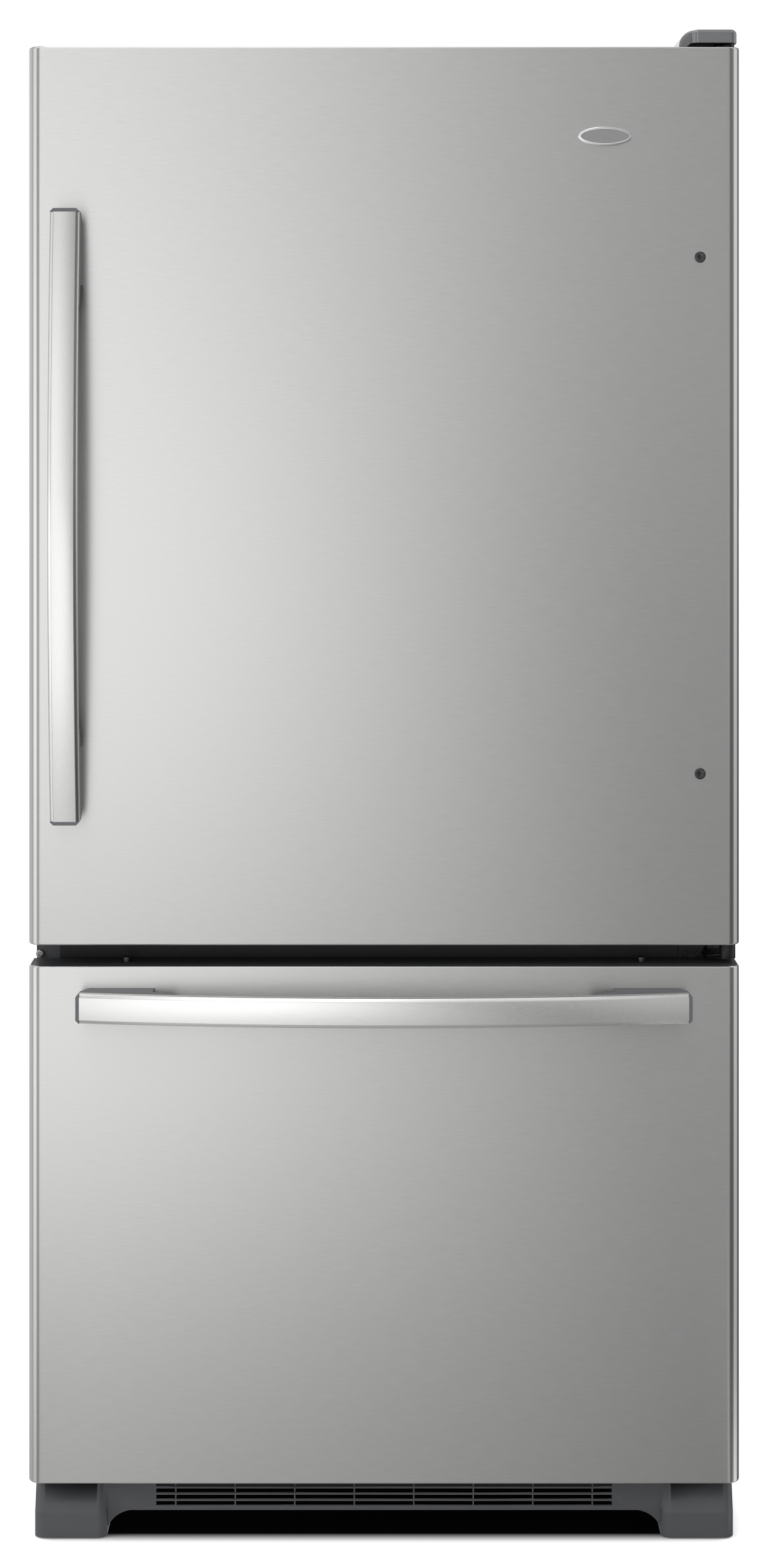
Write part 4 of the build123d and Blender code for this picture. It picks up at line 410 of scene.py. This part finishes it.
def badge_plate():
    """Plain oval plate high on the hinge side of the door, polished round a satin field."""
    half_width, half_height, thickness = 31.5 * MM, 11.3 * MM, 2.2 * MM
    rim_radius, polished_rim, field_depth = 1.4 * MM, 1.6 * MM, 0.5 * MM
    middle_x, middle_z = 258 * MM, 1642 * MM
    front_y = door_low.y - thickness
    centre = (middle_x, door_low.y - thickness / 2, middle_z)
    plate = disc("badge_plate", centre, "y", (half_width, half_height), thickness, 64)
    round_edges(plate, lambda p, d: p.y < front_y + 0.2 * MM, rim_radius, 5)
    sink_faces(plate, lambda p, n: n.y < -0.99, polished_rim, field_depth)
    finish_piece(plate, chrome, "fridge_door")
    plate.data.materials.append(satin_field)
    # The satin field is the one large face in the middle
    least_area = 100 * MM ** 2
    for face in plate.data.polygons:
        in_middle = abs(face.center.x - middle_x) < 1 * MM
        if in_middle and face.normal.y < -0.99 and face.area > least_area:
            face.material_index = 1


def cap_plug():
    """Snap-in plug over the spare hinge hole in the door's upper end cap."""
    radius, height, rim, dish = 11 * MM, 3.6 * MM, 4 * MM, 0.5 * MM
    centre = (-404 * MM, door_low.y + 28 * MM, 1747 * MM)
    plug = disc("door_cap_plug", centre, "z", (radius, radius), height, 40)
    round_edges(plug, lambda p, d: p.z > centre[2] + 1 * MM, 1.4 * MM, 4)
    sink_faces(plug, lambda p, n: n.z > 0.99, rim, dish)
    finish_piece(plug, cap_abs, "fridge_door")


def drawer_cap_screws():
    """Two screws that stand on the drawer's upper end cap."""
    radius, height, sunk = 4.2 * MM, 6.6 * MM, 0.2 * MM
    from_middle, from_front, cap_drop = 303 * MM, 33 * MM, 0.6 * MM
    top = drawer_high.z - cap_drop
    for side, hand in ((-1, "left"), (1, "right")):
        centre = (side * from_middle, drawer_low.y + from_front, top + height / 2 - sunk)
        screw = disc("drawer_cap_screw_" + hand, centre, "z", (radius, radius), height, 24)
        round_edges(screw, lambda p, d: p.z > top + height - 1 * MM, 1.2 * MM, 3)
        sink_faces(screw, lambda p, n: n.z > 0.99, 1 * MM, 1.2 * MM)
        finish_piece(screw, dark_zinc, "freezer_drawer")


def cabinet_screws():
    """Pan-headed screws: a bare one on the left flange, black ones in the hinge plate, three on top."""
    front_z, top_head = 676 * MM, 4 * MM
    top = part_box("cabinet_screws")[1].z - top_head
    # Name, axis, middle of the head, its radius and height, and finish
    flange_place = (-409 * MM, cabinet_y - 1.6 * MM, front_z)
    screws = [("flange_screw", "y", flange_place, 4.9 * MM, 3.4 * MM, zinc)]
    for number, x in enumerate((358 * MM, 374 * MM), 1):
        place = (x, hinge_plate_y, front_z)
        screws.append((f"hinge_screw_{number}", "y", place, 3.6 * MM, 1.4 * MM, black_enamel))
    for number, (x, y) in enumerate([(364, -258), (364, -204), (398, -204)], 1):
        place = (x * MM, y * MM, top + 1.9 * MM)
        screws.append((f"hinge_top_screw_{number}", "z", place, 5 * MM, top_head, zinc))
    for name, axis, middle, radius, height, finish in screws:
        along = "xyz".index(axis)
        outward = 1 if axis == "z" else -1
        tip = middle[along] + outward * height / 2
        screw = disc(name, middle, axis, (radius, radius), height, 32)
        round_edges(screw, lambda p, d: abs(p[along] - tip) < 0.1 * MM, height * 0.4, 4)
        sink_faces(screw, lambda p, n: n[along] * outward > 0.99, radius * 0.25, height * 0.3)
        finish_piece(screw, finish, "cabinet", "cabinet_screws")


def hinge_cover():
    """Glossy cover over the top hinge: a rounded body over the door and a swept flank behind it."""
    low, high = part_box("top_hinge_cover")
    body_left, body_depth, under_z = 360 * MM, 50 * MM, door_high.z + 5.5 * MM
    swept_radius, top_radius, front_radius, corner_radius = 19.4 * MM, 6 * MM, 3 * MM, 8 * MM
    flank_y = low.y + 9 * MM
    cover = box("hinge_cover_shell", (low.x, flank_y, low.z), high)
    body = box("hinge_cover_body", (body_left, low.y, under_z), (high.x, low.y + body_depth, high.z))

    def along_top(p, d, x):
        """Whether an edge runs front to back along the top of the cover, at a side x."""
        return abs(d.y) > 0.9 and p.z > high.z - 1 * MM and abs(p.x - x) < 1 * MM

    round_edges(cover, lambda p, d: along_top(p, d, low.x), swept_radius, 16)
    round_edges(cover, lambda p, d: along_top(p, d, high.x), top_radius, 8)
    round_edges(cover, lambda p, d: p.y < flank_y + 0.1 * MM and p.z > low.z + 0.5 * MM, front_radius, 4)
    round_edges(body, lambda p, d: abs(d.z) > 0.9 and p.y < low.y + 0.1 * MM, corner_radius, 10)
    round_edges(body, lambda p, d: p.z > high.z - 0.1 * MM and p.y < low.y + body_depth - 1 * MM,
                top_radius, 8)
    # The space between the cover and the door, with a chamfered inner corner
    under = box("hinge_cover_gap", (body_left - 6 * MM, low.y - 1 * MM, low.z - 9 * MM),
                (high.x + 1 * MM, cabinet_y - 2 * MM, under_z))
    inner_chamfer = 5 * MM
    round_edges(under, lambda p, d: abs(d.y) > 0.9 and p.z > under_z - 1 * MM and p.x < body_left,
                inner_chamfer, 1)
    apply(cover, "BOOLEAN", operation="DIFFERENCE", object=under, solver="EXACT")
    apply(cover, "BOOLEAN", operation="UNION", object=body, solver="EXACT")
    for tool in (under, body):
        bpy.data.objects.remove(tool)
    finish_piece(cover, cover_abs, "cabinet", "top_hinge_cover", 30)
    apply(cover, "WEIGHTED_NORMAL", keep_sharp=True)


badge_plate()
cap_plug()
drawer_cap_screws()
cabinet_screws()
hinge_cover()

smooth_copies = {
    "door_handle_mounts": "mount_plastic", "drawer_handle_mounts": "mount_plastic",
    "door_end_caps": "cap_plastic", "drawer_end_caps": "cap_plastic",
    "base_grille": "grille_plastic",
    "cabinet_shell": "cabinet_paint", "compressor": "compressor_paint",
    "condenser_coil": "compressor_paint", "door_liner": "liner_plastic",
    "fridge_liner": "liner_plastic", "freezer_liner": "liner_plastic",
    "drawer_liner": "liner_plastic", "door_bins": "clear_plastic",
    "crisper_left": "clear_plastic", "crisper_right": "clear_plastic",
    "fridge_knob": "knob_plastic", "freezer_knob": "knob_plastic",
    "door_gasket": "gasket_rubber", "drawer_gasket": "gasket_rubber",
    "rear_roller_left": "roller_nylon", "rear_roller_right": "roller_nylon",
    "leveling_leg_left": "zinc_steel", "leveling_leg_right": "zinc_steel",
    "center_hinge_bracket": "black_paint", "door_plug_screws": "zinc_steel",
}
for node, slot in smooth_copies.items():
    # The mounts' shallow edges stay crisp
    smooth_copy(node, node + "_smooth", angle=18 if "mounts" in node else 40)


def rear_sheet():
    """The rear panel, drawn up to the underside of the cabinet's top, so that no foam shows there."""
    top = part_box("rear_panel")[1].z
    panel = smooth_copy("rear_panel", "rear_panel_sheet")
    choose(panel, "EDGE", lambda p, d: p.z > top - 0.1 * MM)
    bpy.ops.transform.translate(value=(0, 0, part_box("insulation_foam")[1].z - top))
    bpy.ops.object.mode_set(mode="OBJECT")


def duct_painted_shade_backing():
    """Charcoal backing behind the slots of the fridge's air duct: its dark colour is painted shade, as the
    real duct is white inside.

    It is a little longer than the duct, so a dark strip of it shows past each end.
    """
    low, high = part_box("fridge_liner")
    half_width, thickness, liner_wall = 56 * MM, 3 * MM, 2 * MM
    above_floor, below_top, corner_radius = 252 * MM, 74 * MM, 6 * MM
    back_y = high.y - liner_wall
    backing = box("duct_painted_shade_backing", (-half_width, back_y - thickness, low.z + above_floor),
                  (half_width, back_y, high.z - below_top))
    round_edges(backing, lambda p, d: abs(d.y) > 0.9, corner_radius, 4)
    # Charcoal finish as painted shade inside the duct
    finish_piece(backing, grille_abs, "cabinet")


rear_sheet()
duct_painted_shade_backing()


# ---------------------------------------------------------------- handles
def handle_bar(node, name, finish, along):
    """Bowed flat bar with chamfered front edges, drawn from its node's box."""
    low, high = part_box(node)
    depth, chamfer, shallower, soft, cuts = 12 * MM, 4 * MM, 1.4 * MM, 0.5 * MM, 47
    bow = high.y - low.y - depth
    half = (high[along] - low[along]) / 2
    middle = (high[along] + low[along]) / 2
    bar_back = low.y + depth
    piece = box(name, low, (high.x, bar_back, high.z))
    round_edges(piece, lambda p, d: abs(d[along]) > 0.9 and p.y < low.y + 1 * MM, chamfer, 1)
    # The chamfers are wider than they are deep
    choose(piece, "EDGE", lambda p, d: abs(d[along]) > 0.9 and 1 * MM < p.y - low.y < 5 * MM)
    bpy.ops.transform.translate(value=(0, -shallower, 0))
    bpy.ops.object.mode_set(mode="OBJECT")
    round_edges(piece, lambda p, d: abs(d[along]) > 0.9, soft, 2)
    choose(piece, "EDGE", lambda p, d: abs(d[along]) > 0.9)
    bpy.ops.mesh.subdivide(number_cuts=cuts)
    bpy.ops.object.mode_set(mode="OBJECT")
    radius = (half ** 2 + bow ** 2) / (2 * bow)
    for point in piece.data.vertices:
        reach = point.co[along] - middle
        point.co.y += radius - math.sqrt(radius ** 2 - reach ** 2)
    finish_piece(piece, finish, body_of[node], node, 25)


handle_bar("door_handle", "door_handle_bar", bar_upright, 2)
handle_bar("drawer_handle", "drawer_handle_bar", bar_level, 0)


# ---------------------------------------------------------------- wire baskets
def bent(points, radius, closed=False, steps=4):
    """Points of a wire whose corners are bent to a radius."""
    count = len(points)
    path = []
    for index, point in enumerate(points):
        corner = Vector(point)
        if not closed and index in (0, count - 1):
            path.append(corner)
            continue
        before = (Vector(points[index - 1]) - corner).normalized() * radius
        after = (Vector(points[(index + 1) % count]) - corner).normalized() * radius
        for step in range(steps + 1):
            angle = step / steps * math.pi / 2
            path.append(corner + before * (1 - math.sin(angle)) + after * (1 - math.cos(angle)))
    return path


def wires(name, groups, body, node):
    """A basket of round wires, each group with its own radius."""
    parts = []
    for radius, paths in groups:
        line = bpy.data.curves.new(name, "CURVE")
        line.dimensions = "3D"
        line.bevel_depth = radius
        line.bevel_resolution = 1
        line.use_fill_caps = True
        for points, closed in paths:
            spline = line.splines.new("POLY")
            spline.points.add(len(points) - 1)
            for target, point in zip(spline.points, points):
                target.co = (*point, 1)
            spline.use_cyclic_u = closed
        holder = bpy.data.objects.new(name, line)
        bpy.context.scene.collection.objects.link(holder)
        parts.append(holder)
    deselect()
    for part in parts:
        part.select_set(True)
    bpy.context.view_layer.objects.active = parts[0]
    bpy.ops.object.convert(target="MESH")
    bpy.ops.object.join()
    piece = bpy.context.object
    piece.name = name
    finish_piece(piece, white_enamel, body, node, 50)


def wire_basket(node, name, pitch):
    """White wire basket with a heavy rim wire and side rails that hang on the ledges."""
    low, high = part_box(node)
    wire, rim = 1.5 * MM, 2.5 * MM
    rail_inset, wall_inset, rail_bend = 5 * MM, 13 * MM, 4 * MM
    rail_x = high.x - rail_inset
    left, right = low.x + wall_inset + rim, high.x - wall_inset - rim
    front, back = low.y + rim, high.y - rim
    floor, top = low.z + 2 * wire, high.z - rim
    corner = 18 * MM
    # The level wires round the walls lie this much further apart than the others
    layer_step = 1.2

    def ring(z, inset=0.0):
        """A closed wire round the basket at a height."""
        a, b, c, d = left + inset, right - inset, front + inset, back - inset
        return bent([(a, c, z), (b, c, z), (b, d, z), (a, d, z)], corner, True), True

    def stations(start, end, count):
        """Even places between two ends."""
        return [start + (end - start) * (i + 0.5) / count for i in range(count)]

    across = round((back - front) / pitch)
    along = round((right - left) / pitch)
    layers = max(2, round((top - floor) / pitch / layer_step))
    inner = rim + wire
    thin = []
    for y in stations(front + corner / 2, back - corner / 2, across):
        points = [(left + inner, y, top), (left + inner, y, floor), (right - inner, y, floor),
                  (right - inner, y, top)]
        thin.append((bent(points, corner), False))
    for x in stations(left + corner / 2, right - corner / 2, along):
        points = [(x, front + inner, top), (x, front + inner, floor - wire),
                  (x, back - inner, floor - wire), (x, back - inner, top)]
        thin.append((bent(points, corner), False))
    for layer in range(1, layers):
        thin.append(ring(floor + (top - floor) * layer / layers, rim))
    thick = [ring(top)]
    for side in (-1, 1):
        x, edge = side * rail_x, side * right
        ends = (front + 2 * corner, back - 2 * corner)
        points = [(edge, ends[0], top), (x, ends[0], top), (x, ends[1], top), (edge, ends[1], top)]
        thick.append((bent(points, rail_bend), False))
    wires(name, [(wire, thin), (rim, thick)], body_of[node], node)


wire_basket("lower_basket", "lower_wire_basket", 27 * MM)
wire_basket("upper_basket", "upper_wire_basket", 24 * MM)


# ---------------------------------------------------------------- studio
# Bearing from straight ahead, in degrees to the right, and how bright metal sees the studio there
studio_bands = [
    (-180, 0.9), (-96, 0.85), (-91, 0.25), (-87, 0.3), (-82, 1.22), (-51, 1.22), (-46, 0.3),
    (-30, 0.3), (-24, 1.0), (-14, 1.55), (-8, 1.32), (0, 0.86), (9, 0.4), (20, 0.65), (31, 0.5),
    (38, 0.22), (70, 0.22), (76, 1.12), (113, 1.12), (120, 0.25), (165, 0.25), (180, 0.9)]
# The same bands painted on the floor as a glow that only metal sees, as a share of its own brightness:
# painted reflections
floor_painted_reflection_bands = [
    (-180, 1.0), (-96, 1.0), (-90, 0.35), (-87, 0.35), (-82, 1.35), (-51, 1.35), (-46, 0.35),
    (-29, 0.4), (-23, 0.85), (-12, 1.0), (0, 1.08), (9, 1.05), (20, 2.6), (31, 2.0),
    (38, 0.5), (70, 0.5), (76, 6.0), (113, 6.0), (120, 0.5), (165, 0.5), (180, 1.0)]
# Sine of the height above the horizon, and how bright metal sees the studio there:
# the walls darken upwards, and the panel overhead begins about 40 degrees up
studio_levels = [(0.0, 1.04), (0.15, 1.0), (0.4, 0.72), (0.65, 0.85), (0.85, 1.6)]


def ramp(tree, source, stops):
    """Brightness along a 0..1 value, as a list of place and level."""
    made = add(tree, "ShaderNodeValToRGB", {"Fac": source})
    marks = made.color_ramp.elements
    while len(marks) < len(stops):
        marks.new(0.5)
    for mark, (place, level) in zip(marks, stops):
        mark.position = place
        mark.color = (level, level, level, 1)
    return made.outputs["Color"]


def by_bearing(tree, sideways, forward, bands):
    """Brightness by the bearing from straight ahead, in degrees to the right."""
    bearing = add(tree, "ShaderNodeMath", {0: sideways, 1: forward}, operation="ARCTAN2").outputs[0]
    turn = add(tree, "ShaderNodeMapRange", {"Value": bearing, "From Min": -math.pi, "From Max": math.pi,
                                            "To Min": 0.0, "To Max": 1.0}).outputs["Result"]
    return ramp(tree, turn, [(0.5 + degrees / 360, level) for degrees, level in bands])


def studio_floor():
    """A pale floor with real shadow, and painted shadow close to the refrigerator: black colour under it and
    a dimmer glow round its base. Metal sees painted reflections of studio panels on it.
    """
    bpy.ops.mesh.primitive_plane_add(size=60)
    floor = bpy.context.object
    floor.name = "studio_floor"
    made, tree, shader = start_material("white_studio_floor", "f2f2f2", roughness=0.8)
    shader.inputs["Specular IOR Level"].default_value = 0.1
    place = add(tree, "ShaderNodeTexCoord").outputs["Object"]
    parts = add(tree, "ShaderNodeSeparateXYZ", {0: place}).outputs
    rays = add(tree, "ShaderNodeLightPath").outputs
    # How far a point lies outside the refrigerator's base
    base_setback, floor_inset = 30 * MM, 30 * MM
    base_front = door_low.y + base_setback
    middle_y = (base_front + cad_high.y - floor_inset) / 2
    half = (cad_high.x - floor_inset, (cad_high.y - base_front - floor_inset) / 2, 0)
    centred = add(tree, "ShaderNodeVectorMath", {0: place, 1: (0, middle_y, 0)},
                  operation="SUBTRACT").outputs[0]
    offset = add(tree, "ShaderNodeVectorMath", {0: centred}, operation="ABSOLUTE").outputs[0]
    outside = add(tree, "ShaderNodeVectorMath", {0: offset, 1: half}, operation="SUBTRACT").outputs[0]
    clipped = add(tree, "ShaderNodeVectorMath", {0: outside, 1: (0, 0, 0)}, operation="MAXIMUM").outputs[0]
    away = add(tree, "ShaderNodeVectorMath", {0: clipped}, operation="LENGTH").outputs["Value"]
    # The camera sees the open floor glow, dimmed round the base as painted shadow, and the floor's colour
    # darkens to black under the refrigerator as painted shadow
    shadow_reach, painted_shadow_reach, glow = 45 * MM, 25 * MM, 0.55
    clear = add(tree, "ShaderNodeMapRange", {"Value": away, "From Min": 0.0, "From Max": shadow_reach,
                                             "To Min": 0.0, "To Max": glow},
                interpolation_type="SMOOTHSTEP").outputs["Result"]
    under = add(tree, "ShaderNodeMapRange", {"Value": away, "From Min": 0.0, "From Max": painted_shadow_reach,
                                             "To Min": 0.0, "To Max": 1.0}).outputs["Result"]
    # Painted reflection: metal sees the floor glow brighter on the left and further forward
    side_reach, left_level, right_level = 0.9, 1.15, 0.16
    far_y, near_y, far_level, near_level = -4.2, -0.4, 1.33, 0.56
    side = add(tree, "ShaderNodeMapRange", {"Value": parts["X"], "From Min": -side_reach,
                                            "From Max": side_reach, "To Min": left_level,
                                            "To Max": right_level}).outputs["Result"]
    ahead = add(tree, "ShaderNodeMapRange", {"Value": parts["Y"], "From Min": far_y, "From Max": near_y,
                                             "To Min": far_level, "To Max": near_level}).outputs["Result"]
    mirrored = add(tree, "ShaderNodeMath", {0: side, 1: ahead}, operation="MULTIPLY").outputs[0]
    # Painted reflection: the floor glows in the bands of the studio's panels, by bearing beyond each side of
    # the door
    least = add(tree, "ShaderNodeMath", {0: parts["X"], 1: -cad_high.x}, operation="MAXIMUM").outputs[0]
    nearest = add(tree, "ShaderNodeMath", {0: least, 1: cad_high.x}, operation="MINIMUM").outputs[0]
    sideways = add(tree, "ShaderNodeMath", {0: parts["X"], 1: nearest}, operation="SUBTRACT").outputs[0]
    forward = add(tree, "ShaderNodeMath", {0: door_low.y, 1: parts["Y"]}, operation="SUBTRACT").outputs[0]
    striped = add(tree, "ShaderNodeMath", {0: mirrored, 1: by_bearing(tree, sideways, forward, floor_painted_reflection_bands)},
                  operation="MULTIPLY").outputs[0]
    painted_reflection_glow = add(tree, "ShaderNodeMath", {0: striped, 1: rays["Is Glossy Ray"]},
                    operation="MULTIPLY").outputs[0]
    camera_glow_painted_shadow = add(tree, "ShaderNodeMath", {0: clear, 1: rays["Is Camera Ray"]},
                    operation="MULTIPLY").outputs[0]
    strength = add(tree, "ShaderNodeMath", {0: painted_reflection_glow, 1: camera_glow_painted_shadow}, operation="ADD").outputs[0]
    tree.links.new(strength, shader.inputs["Emission Strength"])
    shader.inputs["Emission Color"].default_value = (1, 1, 1, 1)
    # Painted shadow: black colour under the refrigerator; rays that metal reflects see black colour and the
    # glow alone
    plain = add(tree, "ShaderNodeMix", {"Factor": rays["Is Glossy Ray"], "A": under, "B": 0.0},
                data_type="FLOAT").outputs[0]
    shade_by(tree, shader, plain, "000000", "f2f2f2")
    floor.data.materials.append(made)


def softbox(name, place, aim, size, power):
    """A rectangular studio lamp that faces a point."""
    lamp = bpy.data.lights.new(name, "AREA")
    lamp.shape = "RECTANGLE"
    lamp.size, lamp.size_y = size
    lamp.energy = power
    holder = bpy.data.objects.new(name, lamp)
    holder.location = place
    holder.rotation_euler = (Vector(aim) - Vector(place)).to_track_quat("-Z", "Y").to_euler()
    # Metal mirrors the studio's panels and not the lamp, which would burn out
    holder.visible_glossy = False
    bpy.context.scene.collection.objects.link(holder)


def studio_world():
    """White surroundings; metal and clear pieces see the studio's soft panels instead."""
    world = bpy.data.worlds.new("studio")
    bpy.context.scene.world = world
    world.use_nodes = True
    tree = world.node_tree
    tree.nodes.clear()
    direction = add(tree, "ShaderNodeTexCoord").outputs["Generated"]
    parts = add(tree, "ShaderNodeSeparateXYZ", {0: direction}).outputs
    ahead = add(tree, "ShaderNodeMath", {0: parts["Y"], 1: -1.0}, operation="MULTIPLY").outputs[0]
    panels = by_bearing(tree, parts["X"], ahead, studio_bands)
    rays = add(tree, "ShaderNodeLightPath").outputs
    mirrored = add(tree, "ShaderNodeMath", {0: rays["Is Glossy Ray"], 1: rays["Is Transmission Ray"]},
                   operation="MAXIMUM").outputs[0]
    # Plain light on everything else, a little stronger from the upper front left
    upper_front_left, least, most = (-0.45, -0.55, 0.7), 0.45, 1.15
    facing = add(tree, "ShaderNodeVectorMath", {0: direction, 1: upper_front_left},
                 operation="DOT_PRODUCT").outputs["Value"]
    plain = add(tree, "ShaderNodeMapRange", {"Value": facing, "From Min": -1.0, "From Max": 1.0,
                                             "To Min": least, "To Max": most}).outputs["Result"]
    overhead = ramp(tree, parts["Z"], studio_levels)
    seen = add(tree, "ShaderNodeMath", {0: panels, 1: overhead}, operation="MULTIPLY").outputs[0]
    lit = add(tree, "ShaderNodeMix", {"Factor": mirrored, "A": plain, "B": seen},
              data_type="FLOAT").outputs[0]
    strength = add(tree, "ShaderNodeMix", {"Factor": rays["Is Camera Ray"], "A": lit, "B": 1.0},
                   data_type="FLOAT").outputs[0]
    background = add(tree, "ShaderNodeBackground", {"Color": (1, 1, 1, 1), "Strength": strength})
    output = add(tree, "ShaderNodeOutputWorld")
    tree.links.new(background.outputs[0], output.inputs["Surface"])


def studio_camera():
    """Level camera before the door, raised, with the view shifted down as a shift lens does."""
    # The photograph's height in pixels, and the millimetres of a pixel in the plane of the doors
    photo_height, pixel_size = 2576, 0.7104
    frame_height = photo_height * pixel_size * MM
    distance, shift, middle_z = 3.478, 0.25, 0.886
    door_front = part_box("door_skin")[0].y
    lens = bpy.data.cameras.new("studio_camera")
    lens.sensor_width = 36.0
    lens.lens = lens.sensor_width * distance / frame_height
    lens.shift_y = -shift
    lens.clip_end = 100.0
    camera = bpy.data.objects.new("studio_camera", lens)
    camera.location = (0, door_front - distance, middle_z + shift * frame_height)
    camera.rotation_euler = (math.pi / 2, 0, 0)
    bpy.context.scene.collection.objects.link(camera)
    bpy.context.scene.camera = camera


studio_floor()
studio_world()
softbox("key_lamp", place=(-3.5, -1.95, 2.4), aim=(0, -0.3, 1.0), size=(1.6, 2.2), power=60)
softbox("fill_lamp", place=(3.5, -0.4, 1.6), aim=(0, -0.3, 0.9), size=(1.0, 2.0), power=12)
studio_camera()

bpy.context.scene.view_settings.view_transform = "Standard"
